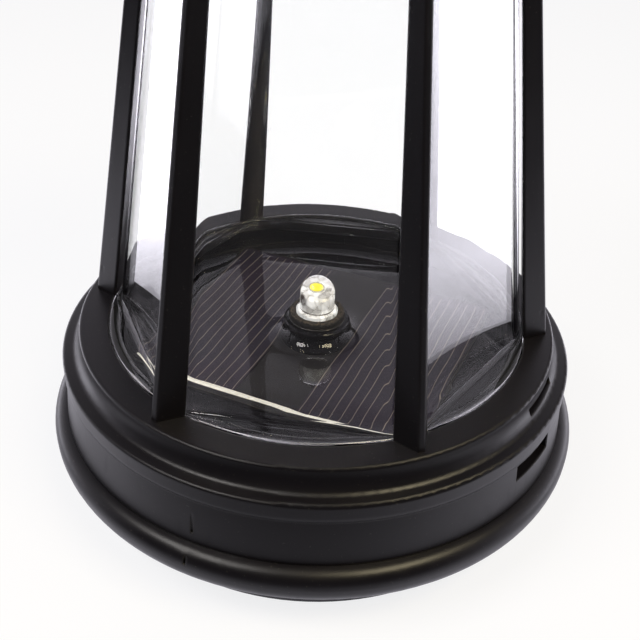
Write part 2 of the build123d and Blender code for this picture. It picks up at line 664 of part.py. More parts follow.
def dome_arc(edge_r, edge_z, top_z):
    """Arc of a spherical cap, from its rim to its top on the Z axis."""
    rise = top_z - edge_z
    sphere_r = (edge_r ** 2 + rise ** 2) / (2 * rise)
    half_angle = asin(edge_r / sphere_r) / 2
    middle = (sphere_r * sin(half_angle), top_z - sphere_r * (1 - cos(half_angle)))
    return ThreePointArc((edge_r, edge_z), middle, (0, top_z))


def skylight_lens():
    """Clear domed window in the middle of the roof, which lets daylight down to the panel."""
    low = DOME_SEAT_Z
    edges = [
        *dome_arc(11.6, low + 1.2, low + 5.8).edges(),
        *Line((0, low + 5.8), (0, low + 4.6)).edges(),
        *dome_arc(10.4, low, low + 4.6).edges(),
        *Polyline((10.4, low), (DOME_SEAT_R - 0.15, low), (DOME_SEAT_R - 0.15, low + 1.2),
                  (11.6, low + 1.2)).edges(),
    ]
    return revolve(Plane.XZ * make_face(Wire(edges)), Axis.Z)


def bail_handle():
    """Wire bail, drawn upright about the pivot and then folded to the back, towards +Y."""
    bend = 1.5
    pin_x = LUG_IN_X - 0.6
    corner = bend * cos(radians(45))
    edges = []
    for side in (-1, 1):
        edges += [
            *Line((side * pin_x, 0, 0), (side * (PIVOT_X - bend), 0, 0)).edges(),
            *ThreePointArc(
                (side * (PIVOT_X - bend), 0, 0),
                (side * (PIVOT_X - bend + corner), 0, bend - corner),
                (side * PIVOT_X, 0, bend),
            ).edges(),
            *Line((side * PIVOT_X, 0, bend), (side * PIVOT_X, 0, BAIL_LEG)).edges(),
        ]
    edges += ThreePointArc(
        (-PIVOT_X, 0, BAIL_LEG), (0, 0, BAIL_LEG + PIVOT_X), (PIVOT_X, 0, BAIL_LEG)
    ).edges()
    path = Wire(edges)
    section = Plane(path @ 0, z_dir=path % 0) * Circle(BAIL_WIRE_R)
    bail = sweep(section, path=path)
    return Pos(0, 0, PIVOT_Z) * Rot(-BAIL_FOLD, 0, 0) * bail


# ---- write every node ------------------------------------------------------------------------
save(upper_housing(), "upper_housing")
save(cage_frame(), "cage_frame")
save(cage_screws(), "cage_screws", POST_COUNT)
save(clear_liner(), "clear_liner")
save(liner_seal(), "liner_seal")
save(solar_tray(), "solar_tray")
save(solar_board(), "solar_board")
save(solar_cell(-1), "solar_cell_left")
save(solar_cell(1), "solar_cell_right")
save(busbar(), "cell_busbar")
save(panel_resin(), "panel_resin")
save(panel_leads(), "panel_leads", len(PANEL_LEAD_SPOTS))
save(led_holder(), "led_holder")
save(led_lens(), "led_lens")
save(led_leads(), "led_leads", 2)
save(led_chip(), "led_chip")
save(control_board(), "control_board")
save(driver_chip(), "driver_chip")
save(boost_inductor(), "boost_inductor")
save(filter_capacitor(), "filter_capacitor")
save(blocking_diode(), "blocking_diode")
save(board_screws(), "board_screws", len(BOARD_SCREW_SPOTS))
save(base_pan(), "base_pan")
save(battery_door(), "battery_door")
save(battery_cell(), "battery_cell")
save(battery_plus_contact(), "battery_plus_contact")
save(battery_minus_contact(), "battery_minus_contact")
plus_wire, minus_wire, switch_wires = wires()
save(plus_wire, "battery_wire_red")
save(minus_wire, "battery_wire_black")
save(switch_wires, "switch_wires", 2)
save(switch_body(), "switch_body")
save(switch_slider(), "switch_slider")
save(roof_shell(), "roof_shell")
save(roof_screws(), "roof_screws", len(ROOF_SCREW_ANGLES))
save(skylight_lens(), "skylight_lens")
save(bail_handle(), "bail_handle")
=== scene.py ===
import bmesh
import bpy
import json
import math
import random
from mathutils import Matrix, Vector, noise


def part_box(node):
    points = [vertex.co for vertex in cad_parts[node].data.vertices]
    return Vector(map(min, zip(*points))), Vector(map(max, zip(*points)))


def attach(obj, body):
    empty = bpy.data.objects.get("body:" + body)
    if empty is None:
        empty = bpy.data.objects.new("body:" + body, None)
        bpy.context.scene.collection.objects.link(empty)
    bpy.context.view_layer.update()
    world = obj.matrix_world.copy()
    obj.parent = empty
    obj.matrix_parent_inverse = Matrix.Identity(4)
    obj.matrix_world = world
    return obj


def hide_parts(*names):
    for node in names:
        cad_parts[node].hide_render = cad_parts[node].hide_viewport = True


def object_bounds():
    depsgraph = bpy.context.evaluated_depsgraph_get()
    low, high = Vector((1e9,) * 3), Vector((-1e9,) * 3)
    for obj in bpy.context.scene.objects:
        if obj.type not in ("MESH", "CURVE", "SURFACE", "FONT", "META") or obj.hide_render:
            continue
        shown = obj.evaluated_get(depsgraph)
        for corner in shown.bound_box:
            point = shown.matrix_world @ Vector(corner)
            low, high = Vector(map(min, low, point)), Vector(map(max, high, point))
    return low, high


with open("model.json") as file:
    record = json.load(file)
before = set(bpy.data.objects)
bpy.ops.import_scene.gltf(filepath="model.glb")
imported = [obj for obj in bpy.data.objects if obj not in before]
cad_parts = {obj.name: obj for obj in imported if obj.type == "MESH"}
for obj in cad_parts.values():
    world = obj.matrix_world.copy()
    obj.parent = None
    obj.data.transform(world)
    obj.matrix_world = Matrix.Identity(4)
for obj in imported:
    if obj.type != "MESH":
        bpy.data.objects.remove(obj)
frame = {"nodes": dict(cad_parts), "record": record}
cad_low, cad_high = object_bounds()
nodes = frame["nodes"]

# Solar lantern: round stepped base, six leaning posts, a clear six-sided liner, a solar panel and one
# LED under clear resin, a domed roof with a skylight and a wire bail. Everything is in metres.
MM = 0.001
BODY = "lantern"
SEED = 7

# ---- sizes read from the frame -----------------------------------------------------------------
RESIN_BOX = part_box("panel_resin")
RESIN_TOP = RESIN_BOX[1].z
RESIN_R = RESIN_BOX[1].x
RESIN_LOW = RESIN_BOX[0].z
CELL_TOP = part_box("solar_cell_left")[1].z
DECK_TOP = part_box("upper_housing")[1].z
HOLDER_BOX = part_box("led_holder")
HOLDER_TOP = HOLDER_BOX[1].z
LENS_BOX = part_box("led_lens")
LENS_LOW = LENS_BOX[0].z
LENS_TOP = LENS_BOX[1].z
LEAD_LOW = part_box("led_leads")[0].z
LED_R = 2.5 * MM
LED_FLANGE_R = LENS_BOX[1].x
LED_DOME_Z = LENS_TOP - LED_R

# ---- sizes of the solar panel, as in the CAD ----------------------------------------------------
PANEL_TURN = math.radians(-16.0)
CELL_WIDTH = 15.9 * MM
CELL_LENGTH = 36.0 * MM
CELL_GAP = 9.4 * MM


# ---- camera ------------------------------------------------------------------------------------
CAMERA_AZIMUTH = math.radians(6.15)
CAMERA_ELEVATION = math.radians(34.32)
CAMERA_ROLL = math.radians(2.5)
CAMERA_DISTANCE = 138.84 * MM
CAMERA_LENS = 53.0
SENSOR_WIDTH = 36.0
CLIP_START = 10 * MM
CLIP_END = 20.0
AIM_ASIDE = 0.45 * MM
AIM_BELOW_DECK = 2.075 * MM


def make_camera():
    """Camera in front and well above, turned and rolled a little, aimed just below the deck."""
    right = Vector((math.cos(CAMERA_AZIMUTH), math.sin(CAMERA_AZIMUTH), 0))
    ahead = Vector((-math.sin(CAMERA_AZIMUTH), math.cos(CAMERA_AZIMUTH), 0))
    look = ahead * math.cos(CAMERA_ELEVATION) - Vector((0, 0, math.sin(CAMERA_ELEVATION)))
    up = right.cross(look)
    camera_x = right * math.cos(CAMERA_ROLL) + up * math.sin(CAMERA_ROLL)
    camera_y = up * math.cos(CAMERA_ROLL) - right * math.sin(CAMERA_ROLL)
    aim = right * AIM_ASIDE + Vector((0, 0, DECK_TOP - AIM_BELOW_DECK))
    data = bpy.data.cameras.new("camera")
    data.lens = CAMERA_LENS
    data.sensor_width = SENSOR_WIDTH
    data.clip_start = CLIP_START
    data.clip_end = CLIP_END
    camera = bpy.data.objects.new("camera", data)
    bpy.context.scene.collection.objects.link(camera)
    turn = Matrix((camera_x, camera_y, -look)).transposed()
    camera.matrix_world = Matrix.Translation(aim - look * CAMERA_DISTANCE) @ turn.to_4x4()
    bpy.context.scene.camera = camera


# ---- small builders for node materials ----------------------------------------------------------
BEVEL_SAMPLES = 6
EDGE_STARTS = 0.995
EDGE_FULL = 0.86
MIX_COLOR_A = 6
MIX_COLOR_B = 7
MIX_COLOR_RESULT = 2


class Shader:
    """A node material under construction, with short calls for the nodes that are used often."""

    def __init__(self, name, tree=None):
        self.material = None
        if tree is None:
            self.material = bpy.data.materials.new(name)
            self.material.use_nodes = True
            tree = self.material.node_tree
        self.tree = tree
        tree.nodes.clear()

    def add(self, kind, settings=None, **inputs):
        """New node. Settings are its properties, inputs its sockets, with _ for a space in their names."""
        made = self.tree.nodes.new(kind)
        for key, value in (settings or {}).items():
            setattr(made, key, value)
        for key, value in inputs.items():
            self.feed(made.inputs[key.replace("_", " ")], value)
        return made

    def feed(self, socket, value):
        """Link the socket if the value comes from a node, or else set it."""
        if isinstance(value, bpy.types.NodeSocket):
            self.tree.links.new(value, socket)
        elif isinstance(value, (tuple, list)) and len(value) == 3 and socket.type == "RGBA":
            socket.default_value = (*value, 1.0)
        else:
            socket.default_value = value

    def coords(self, stretch=(1, 1, 1)):
        """Object coordinates, scaled along each axis."""
        place = self.add("ShaderNodeTexCoord").outputs["Object"]
        if tuple(stretch) == (1, 1, 1):
            return place
        return self.add("ShaderNodeMapping", Vector=place, Scale=stretch).outputs["Vector"]

    def along(self, axis):
        """Object coordinate along one axis."""
        return self.add("ShaderNodeSeparateXYZ", Vector=self.coords()).outputs[axis]

    def noise(self, per_mm, detail=3.0, roughness=0.55, distortion=0.0, stretch=(1, 1, 1)):
        made = self.add("ShaderNodeTexNoise", Vector=self.coords(stretch), Scale=per_mm / MM, Detail=detail,
                        Roughness=roughness, Distortion=distortion)
        return made.outputs["Fac"]

    def cells(self, per_mm, feature="F1", output="Distance"):
        made = self.add("ShaderNodeTexVoronoi", {"feature": feature}, Vector=self.coords(),
                        Scale=per_mm / MM, Randomness=1.0)
        return made.outputs[output]

    def wave(self, direction, per_mm, distortion):
        made = self.add("ShaderNodeTexWave", {"bands_direction": direction}, Vector=self.coords(),
                        Scale=per_mm / MM, Distortion=distortion)
        return made.outputs["Fac"]

    def remap(self, value, low, high, to_low=0.0, to_high=1.0):
        made = self.add("ShaderNodeMapRange", {"clamp": True}, Value=value)
        made.inputs["From Min"].default_value = low
        made.inputs["From Max"].default_value = high
        made.inputs["To Min"].default_value = to_low
        made.inputs["To Max"].default_value = to_high
        return made.outputs["Result"]

    def math(self, operation, first, second=0.0):
        made = self.tree.nodes.new("ShaderNodeMath")
        made.operation = operation
        self.feed(made.inputs[0], first)
        self.feed(made.inputs[1], second)
        return made.outputs[0]

    def blend(self, share, first, second):
        """Colour that goes from the first to the second as share goes from 0 to 1."""
        made = self.tree.nodes.new("ShaderNodeMix")
        made.data_type = "RGBA"
        self.feed(made.inputs["Factor"], share)
        self.feed(made.inputs[MIX_COLOR_A], first)
        self.feed(made.inputs[MIX_COLOR_B], second)
        return made.outputs[MIX_COLOR_RESULT]

    def bump(self, height, depth_mm, before=None):
        made = self.add("ShaderNodeBump", Height=height, Distance=depth_mm * MM, Strength=1.0)
        if before is not None:
            self.feed(made.inputs["Normal"], before)
        return made.outputs["Normal"]

    def edges(self, width_mm):
        """Rounded normal of the edges, and a mask that is 1 on them."""
        bevel = self.add("ShaderNodeBevel", {"samples": BEVEL_SAMPLES}, Radius=width_mm * MM)
        soft = bevel.outputs["Normal"]
        plain = self.add("ShaderNodeNewGeometry").outputs["Normal"]
        dot = self.tree.nodes.new("ShaderNodeVectorMath")
        dot.operation = "DOT_PRODUCT"
        self.feed(dot.inputs[0], soft)
        self.feed(dot.inputs[1], plain)
        return soft, self.remap(dot.outputs["Value"], EDGE_STARTS, EDGE_FULL)

    def principled(self, **inputs):
        made = self.tree.nodes.new("ShaderNodeBsdfPrincipled")
        for key, value in inputs.items():
            self.feed(made.inputs[key.replace("_", " ")], value)
        return made.outputs["BSDF"]

    def finish(self, shader):
        out = self.tree.nodes.new("ShaderNodeOutputMaterial")
        self.feed(out.inputs["Surface"], shader)
        return self.material

    def lets_lamps_through(self, glass, tint=(1, 1, 1)):
        """Clear to the eye, and a plain tinted pane for the light that falls on what is behind it."""
        path = self.tree.nodes.new("ShaderNodeLightPath")
        pane = self.add("ShaderNodeBsdfTransparent", Color=tint).outputs["BSDF"]
        for name in ("Is Diffuse Ray", "Is Shadow Ray"):
            mix = self.tree.nodes.new("ShaderNodeMixShader")
            self.feed(mix.inputs[0], path.outputs[name])
            self.feed(mix.inputs[1], glass)
            self.feed(mix.inputs[2], pane)
            glass = mix.outputs[0]
        return glass


# ---- materials -----------------------------------------------------------------------------------
DUST_COLOR = (0.075, 0.070, 0.062)
# Warm edge colour of the black plastic: rubbed wear and a painted edge highlight.
RUBBED_AND_HIGHLIGHT_COLOR = (0.021, 0.019, 0.0155)
MOULD_EDGE = 0.40
HAIRLINES_FROM = DECK_TOP + 1.0 * MM
HAIRLINES_FULL = DECK_TOP + 3.0 * MM
RIM_DEPTH = 1.15 * MM
RUBBER_RIM_LOW = HOLDER_TOP - RIM_DEPTH
RUBBER_RIM_FULL = HOLDER_TOP - 0.95 * MM
# Painted glow of the phosphor: emission that stands in for light it catches.
PHOSPHOR_PAINTED_GLOW = 0.55


def moulded_black(name, roughness=0.34, grain=0.0035, dust=0.3, tone=0.0035):
    """Black ABS with a fine spark-eroded grain, faint flow clouding, dust specks, and edges lightened warm
    in the base colour: partly rubbed wear, partly a painted highlight.
    """
    s = Shader(name)
    soft, edge = s.edges(MOULD_EDGE)
    clouds = s.noise(0.09, detail=4.0)
    fine = s.noise(11.0, detail=2.0)
    scuffs = s.remap(s.noise(0.7, detail=5.0, stretch=(1, 1, 0.25)), 0.56, 0.70)
    specks = s.remap(s.noise(3.1, detail=1.0, roughness=0.3), 0.735, 0.775, 0.0, dust)
    # Edges lightened warm in the base colour: partly rubbed wear, partly a painted edge highlight.
    wear_and_highlight = s.math("MULTIPLY", edge, s.remap(s.noise(1.3, detail=4.0), 0.35, 0.65, 0.25, 1.0))
    plain = s.blend(clouds, (tone * 0.95, tone * 0.72, tone * 1.1), (tone * 1.3, tone * 1.0, tone * 1.45))
    rubbed_and_highlit = s.blend(wear_and_highlight, plain, RUBBED_AND_HIGHLIGHT_COLOR)
    color = s.blend(specks, rubbed_and_highlit, DUST_COLOR)
    base = s.remap(clouds, 0.3, 0.7, roughness - 0.03, roughness + 0.04)
    rough = s.math("ADD", base, s.math("MULTIPLY", scuffs, 0.05))
    normal = s.bump(fine, grain, s.bump(specks, 0.012, soft))
    return s.finish(s.principled(Base_Color=color, Roughness=rough, Normal=normal, IOR=1.45))


def clear_plastic(name, haze=0.03, ior=1.52):
    """Clear moulded plastic with faint smears, mould ripple, and hairline scratches above the deck."""
    s = Shader(name)
    smear = s.remap(s.noise(0.10, detail=5.0, roughness=0.6, stretch=(1, 1, 0.35)), 0.48, 0.72, 0.0, haze)
    lines = s.remap(s.noise(2.2, detail=2.0, distortion=0.6, stretch=(1, 1, 0.04)), 0.69, 0.74)
    hair = s.math("MULTIPLY", lines, s.remap(s.along("Z"), HAIRLINES_FROM, HAIRLINES_FULL))
    ripple = s.noise(0.10, detail=1.0, stretch=(1, 1, 0.3))
    normal = s.bump(hair, 0.0005, s.bump(ripple, 0.006))
    glass = s.principled(Base_Color=(0.995, 0.998, 0.998), Roughness=smear, Normal=normal, IOR=ior,
                         Transmission_Weight=1.0)
    return s.finish(s.lets_lamps_through(glass, (0.93, 0.94, 0.95)))


def potting_resin():
    """Glossy clear casting resin, almost colourless, with faint orange peel."""
    s = Shader("potting_resin")
    peel = s.noise(0.16, detail=1.0)
    dusty = s.remap(s.noise(4.0, detail=1.0), 0.72, 0.78, 0.004, 0.25)
    glass = s.principled(Base_Color=(0.97, 0.955, 0.95), Roughness=dusty, Normal=s.bump(peel, 0.003),
                         IOR=1.52, Transmission_Weight=1.0)
    return s.finish(s.lets_lamps_through(glass, (0.92, 0.91, 0.91)))


def epoxy_lens():
    """Water-clear epoxy of the LED, with slight casting ripple."""
    s = Shader("epoxy_lens")
    ripple = s.noise(0.9, detail=2.0)
    rough = s.remap(s.noise(1.6, detail=3.0), 0.5, 0.8, 0.0, 0.06)
    glass = s.principled(Base_Color=(0.99, 0.995, 1.0), Roughness=rough, Normal=s.bump(ripple, 0.03),
                         IOR=1.53, Transmission_Weight=1.0)
    return s.finish(s.lets_lamps_through(glass, (0.97, 0.97, 0.97)))


def silicon_cell():
    """Dark violet silicon with soft crystal grain and a thin blue film."""
    s = Shader("silicon_cell")
    grain = s.cells(0.22, output="Color")
    tone = s.add("ShaderNodeSeparateColor", Color=grain).outputs["Red"]
    film = s.noise(0.05, detail=3.0)
    flat = s.blend(tone, (0.011, 0.004, 0.015), (0.018, 0.008, 0.025))
    color = s.blend(s.remap(film, 0.35, 0.7), flat, (0.008, 0.008, 0.020))
    texture = s.bump(s.noise(9.0, detail=2.0), 0.002)
    return s.finish(s.principled(Base_Color=color, Roughness=0.34, Normal=texture, IOR=1.6))


def board_laminate():
    """Glass epoxy board with a black coat, weave just showing, pale cut edges."""
    s = Shader("board_laminate")
    soft, edge = s.edges(0.12)
    weave = s.math("MULTIPLY", s.wave("X", 0.8, 0.6), s.wave("Y", 0.8, 0.6))
    coat = s.blend(weave, (0.0095, 0.0085, 0.011), (0.014, 0.0125, 0.0155))
    color = s.blend(s.math("MULTIPLY", edge, 0.35), coat, (0.20, 0.17, 0.09))
    rough = s.remap(s.noise(0.6, detail=4.0), 0.3, 0.7, 0.40, 0.55)
    normal = s.bump(weave, 0.004, soft)
    return s.finish(s.principled(Base_Color=color, Roughness=rough, Normal=normal, IOR=1.5))


def tinned_metal(name="tinned_metal", color=(0.86, 0.83, 0.74), roughness=0.30, metallic=0.85, glow=0.0):
    """Solder-coated copper: uneven sheen, small puddles and dull spots, with a painted glow where asked:
    emission that stands in for light the metal catches.
    """
    s = Shader(name)
    puddles = s.noise(0.9, detail=4.0)
    dull = s.remap(s.noise(2.4, detail=3.0), 0.55, 0.72)
    dark = tuple(c * 0.72 for c in color)
    shade = s.blend(s.remap(puddles, 0.3, 0.7), dark, color)
    mixed = s.blend(s.math("MULTIPLY", dull, 0.5), shade, (0.42, 0.38, 0.30))
    rough = s.remap(puddles, 0.3, 0.7, roughness + 0.12, roughness - 0.06)
    # Painted glow: the emission stands in for light the metal catches.
    return s.finish(s.principled(Base_Color=mixed, Roughness=rough, Metallic=metallic, Emission_Color=color,
                                 Emission_Strength=glow, Normal=s.bump(puddles, 0.02)))


def plated_steel(name, color, roughness, stretch=(1, 1, 1), grain=1.5):
    """Plated steel with draw lines, clouded plating and a few dark pits."""
    s = Shader(name)
    soft, edge = s.edges(0.12)
    lines = s.noise(grain, detail=3.0, stretch=stretch)
    clouds = s.noise(0.25, detail=4.0)
    pits = s.remap(s.noise(3.0, detail=2.0), 0.70, 0.76)
    dark = tuple(c * 0.62 for c in color)
    shade = s.blend(s.remap(clouds, 0.3, 0.7), dark, color)
    worn = s.blend(s.math("MULTIPLY", edge, 0.5), shade, (0.75, 0.73, 0.70))
    mixed = s.blend(pits, worn, (0.10, 0.075, 0.055))
    satin = s.remap(clouds, 0.3, 0.7, roughness - 0.05, roughness + 0.08)
    rough = s.math("ADD", satin, s.math("MULTIPLY", pits, 0.3))
    normal = s.bump(pits, -0.02, s.bump(lines, 0.004, soft))
    return s.finish(s.principled(Base_Color=mixed, Roughness=rough, Metallic=1.0, Normal=normal, IOR=2.2))


def dusty_rubber():
    """Black rubber collar: matte rim with brownish grit on its top, clean and glossy below the rim."""
    s = Shader("dusty_rubber")
    up = s.add("ShaderNodeSeparateXYZ", Vector=s.add("ShaderNodeNewGeometry").outputs["Normal"]).outputs["Z"]
    facing = s.remap(up, 0.35, 0.85)
    blots = s.remap(s.noise(2.4, detail=5.0, roughness=0.7), 0.44, 0.62)
    rim = s.remap(s.along("Z"), RUBBER_RIM_LOW, RUBBER_RIM_FULL)
    grit = s.math("MULTIPLY", blots, s.math("MULTIPLY", facing, rim))
    fine = s.noise(7.0, detail=3.0)
    plain = s.blend(fine, (0.0028, 0.0023, 0.0028), (0.0036, 0.003, 0.0034))
    color = s.blend(s.math("MULTIPLY", grit, 0.85), plain, (0.115, 0.085, 0.055))
    rough = s.remap(rim, 0.0, 1.0, 0.09, 0.72)
    normal = s.bump(s.math("MULTIPLY", blots, rim), 0.03)
    return s.finish(s.principled(Base_Color=color, Roughness=rough, Normal=normal, IOR=1.48))


def plain_rubber():
    """Black rubber with a little talc left in patches."""
    s = Shader("plain_rubber")
    fine = s.noise(6.0, detail=3.0)
    talc = s.remap(s.noise(0.5, detail=4.0), 0.5, 0.75, 0.0, 0.35)
    color = s.blend(talc, s.blend(fine, (0.008, 0.008, 0.009), (0.011, 0.011, 0.012)), (0.035, 0.035, 0.034))
    return s.finish(s.principled(Base_Color=color, Roughness=0.7, Normal=s.bump(fine, 0.002), IOR=1.48))


def phosphor():
    """Yellow phosphor gel in the LED's cup, grainy and a little uneven, with a painted glow that stands in
    for light it catches.
    """
    s = Shader("phosphor")
    grains = s.noise(9.0, detail=3.0)
    color = s.blend(s.remap(grains, 0.3, 0.7), (0.93, 0.74, 0.02), (1.0, 0.92, 0.12))
    return s.finish(s.principled(Base_Color=color, Roughness=0.45, Normal=s.bump(grains, 0.01),
                                 Emission_Color=(1.0, 0.90, 0.06), Emission_Strength=PHOSPHOR_PAINTED_GLOW))


def solder_mask():
    """Green solder mask over copper tracks."""
    s = Shader("solder_mask")
    soft, edge = s.edges(0.1)
    pick = s.remap(s.noise(0.10, detail=0.0), 0.48, 0.52)
    lanes = s.add("ShaderNodeMix", Factor=pick, A=s.wave("X", 0.16, 1.4), B=s.wave("Y", 0.12, 1.1))
    lane = s.remap(lanes.outputs[0], 0.62, 0.68)
    mask = s.blend(lane, (0.010, 0.085, 0.035), (0.022, 0.17, 0.07))
    color = s.blend(s.math("MULTIPLY", edge, 0.6), mask, (0.30, 0.27, 0.12))
    rough = s.remap(s.noise(1.2, detail=3.0), 0.3, 0.7, 0.24, 0.36)
    return s.finish(s.principled(Base_Color=color, Roughness=rough, Normal=s.bump(lane, 0.03, soft)))


def component_black():
    """Dark moulded body of a board component, paler at its edges."""
    s = Shader("component_black")
    soft, edge = s.edges(0.08)
    fine = s.noise(8.0, detail=3.0)
    body = s.blend(fine, (0.018, 0.018, 0.019), (0.030, 0.030, 0.031))
    color = s.blend(s.math("MULTIPLY", edge, 0.5), body, (0.09, 0.09, 0.09))
    return s.finish(s.principled(Base_Color=color, Roughness=0.5, Normal=s.bump(fine, 0.006, soft)))


def copper_winding():
    """Enamelled copper wire wound round the core: close turns, with painted shade darkening the valleys
    between them.
    """
    s = Shader("copper_winding")
    turns = s.wave("Z", 1.1, 0.3)
    # Painted shade: the base colour darkens in the valleys between the turns.
    color = s.blend(turns, (0.28, 0.10, 0.035), (0.80, 0.38, 0.15))
    normal = s.bump(turns, 0.06)
    return s.finish(s.principled(Base_Color=color, Roughness=0.26, Metallic=0.85, Normal=normal))


def drawn_can():
    """Drawn aluminium can with fine lines along it."""
    s = Shader("drawn_can")
    lines = s.noise(2.0, detail=3.0, stretch=(1, 1, 0.05))
    color = s.blend(lines, (0.60, 0.61, 0.63), (0.82, 0.83, 0.85))
    rough = s.remap(lines, 0.3, 0.7, 0.22, 0.34)
    normal = s.bump(lines, 0.003)
    return s.finish(s.principled(Base_Color=color, Roughness=rough, Metallic=1.0, Normal=normal))


def cell_jacket():
    """Green shrink sleeve with two pale bands, drawn tight over the can."""
    s = Shader("cell_jacket")
    along = s.along("X")
    centre = s.math("ABSOLUTE", s.math("ADD", along, -4.0 * MM))
    band = s.remap(s.math("ABSOLUTE", s.math("ADD", centre, -9.0 * MM)), 0.9 * MM, 0.8 * MM)
    metal = s.remap(s.math("ABSOLUTE", along), 20.9 * MM, 21.0 * MM)
    crinkle = s.noise(0.5, detail=3.0, stretch=(0.3, 1, 1))
    green = s.blend(crinkle, (0.020, 0.150, 0.060), (0.030, 0.210, 0.085))
    sleeve = s.blend(band, green, (0.55, 0.58, 0.52))
    color = s.blend(metal, sleeve, (0.70, 0.70, 0.70))
    rough = s.remap(crinkle, 0.3, 0.7, 0.20, 0.32)
    normal = s.bump(crinkle, 0.03)
    return s.finish(s.principled(Base_Color=color, Roughness=rough, Metallic=metal, Normal=normal))


def wire_skin(name, dark, light):
    """Soft insulation of a thin wire, a little streaked."""
    s = Shader(name)
    streaks = s.noise(0.8, detail=4.0)
    color = s.blend(streaks, dark, light)
    rough = s.remap(streaks, 0.3, 0.7, 0.32, 0.46)
    return s.finish(s.principled(Base_Color=color, Roughness=rough, Normal=s.bump(streaks, 0.01)))


def make_materials():
    """One finished material for each material slot of the record."""
    return {
        "black_abs": moulded_black("black_abs"),
        "clear_plastic": clear_plastic("clear_plastic"),
        "steel_wire": plated_steel("steel_wire", (0.46, 0.46, 0.47), 0.30, (0.1, 1, 1), 2.5),
        "screw_steel": plated_steel("screw_steel", (0.58, 0.56, 0.52), 0.34),
        "black_rubber": plain_rubber(),
        "board_laminate": board_laminate(),
        "solar_silicon": silicon_cell(),
        "silver_metal": tinned_metal(),
        "clear_resin": potting_resin(),
        "led_clear": epoxy_lens(),
        "phosphor": phosphor(),
        "green_board": solder_mask(),
        "dark_component": component_black(),
        "copper_winding": copper_winding(),
        "can_aluminium": drawn_can(),
        "cell_jacket": cell_jacket(),
        "red_wire": wire_skin("red_wire", (0.38, 0.012, 0.010), (0.58, 0.03, 0.02)),
        "black_wire": wire_skin("black_wire", (0.012, 0.012, 0.012), (0.024, 0.024, 0.025)),
    }


MATERIALS = make_materials()
SLOT_OF = {part["node"]: part["material_slot"] for part in frame["record"]["subparts"]}


def dress_cad_nodes():
    """Every CAD node gets the finished material of its slot. The tray's black is glossier and smoother."""
    tray_black = moulded_black("tray_black", roughness=0.16, grain=0.0001, dust=0.1, tone=0.002)
    for name, obj in nodes.items():
        obj.data.materials.clear()
        obj.data.materials.append(tray_black if name == "solar_tray" else MATERIALS[SLOT_OF[name]])


# ---- mesh helpers --------------------------------------------------------------------------------
ON_AXIS = 1e-7


def add_piece(name, mesh, slot, material=None, body=BODY, smooth_deg=40.0):
    """Link a finished mesh as a visible piece that rides on a body."""
    for face in mesh.polygons:
        face.use_smooth = True
    mesh.set_sharp_from_angle(angle=math.radians(smooth_deg))
    mesh.materials.append(material or MATERIALS[slot])
    obj = bpy.data.objects.new(name, mesh)
    bpy.context.scene.collection.objects.link(obj)
    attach(obj, body)
    return obj


def mesh_from(bm, name):
    """Mesh with outward normals. The bmesh is used up."""
    bmesh.ops.recalc_face_normals(bm, faces=bm.faces)
    mesh = bpy.data.meshes.new(name)
    bm.to_mesh(mesh)
    bm.free()
    return mesh


def close_loops(bm, loops, steps):
    """Faces between each ring of points and the next one."""
    for first, second in zip(loops, loops[1:]):
        for index in range(steps):
            after = (index + 1) % steps
            bm.faces.new((first[index], first[after], second[after], second[index]))


def turned(profile, steps, shift=None):
    """Closed body turned about Z from (radius, height) points. Shift moves points for a hand-cut look."""
    bm = bmesh.new()
    rings = []
    for radius, height in profile:
        if radius < ON_AXIS:
            rings.append([bm.verts.new((0, 0, height))])
            continue
        ring = []
        for index in range(steps):
            angle = 2 * math.pi * index / steps
            point = Vector((radius * math.cos(angle), radius * math.sin(angle), height))
            ring.append(bm.verts.new(point + shift(point) if shift else point))
        rings.append(ring)
    pairs = list(zip(rings, rings[1:]))
    if len(rings[0]) > 1 and len(rings[-1]) > 1:
        pairs.append((rings[-1], rings[0]))
    for low, high in pairs:
        for index in range(steps):
            after = (index + 1) % steps
            corners = [low[index % len(low)], low[after % len(low)]]
            corners += [high[after % len(high)], high[index % len(high)]]
            unique = list(dict.fromkeys(corners))
            if len(unique) > 2:
                bm.faces.new(unique)
    return bm


def arc_points(centre_r, centre_z, radius, start_deg, end_deg, count):
    """Points of an arc in the (radius, height) plane."""
    points = []
    for index in range(count + 1):
        angle = math.radians(start_deg + (end_deg - start_deg) * index / count)
        points.append((centre_r + radius * math.cos(angle), centre_z + radius * math.sin(angle)))
    return points


def strip_along(bm, points, half_width, low, high):
    """Flat bar along a line of XY points, closed on all sides."""
    rows = []
    for index, point in enumerate(points):
        before = points[max(index - 1, 0)]
        after = points[min(index + 1, len(points) - 1)]
        way = (after - before).normalized()
        side = Vector((-way.y, way.x)) * half_width
        rows.append([
            bm.verts.new((point.x - side.x, point.y - side.y, low)),
            bm.verts.new((point.x + side.x, point.y + side.y, low)),
            bm.verts.new((point.x + side.x, point.y + side.y, high)),
            bm.verts.new((point.x - side.x, point.y - side.y, high)),
        ])
    for first, second in zip(rows, rows[1:]):
        for index in range(4):
            after = (index + 1) % 4
            bm.faces.new((first[index], first[after], second[after], second[index]))
    bm.faces.new(rows[0])
    bm.faces.new(list(reversed(rows[-1])))


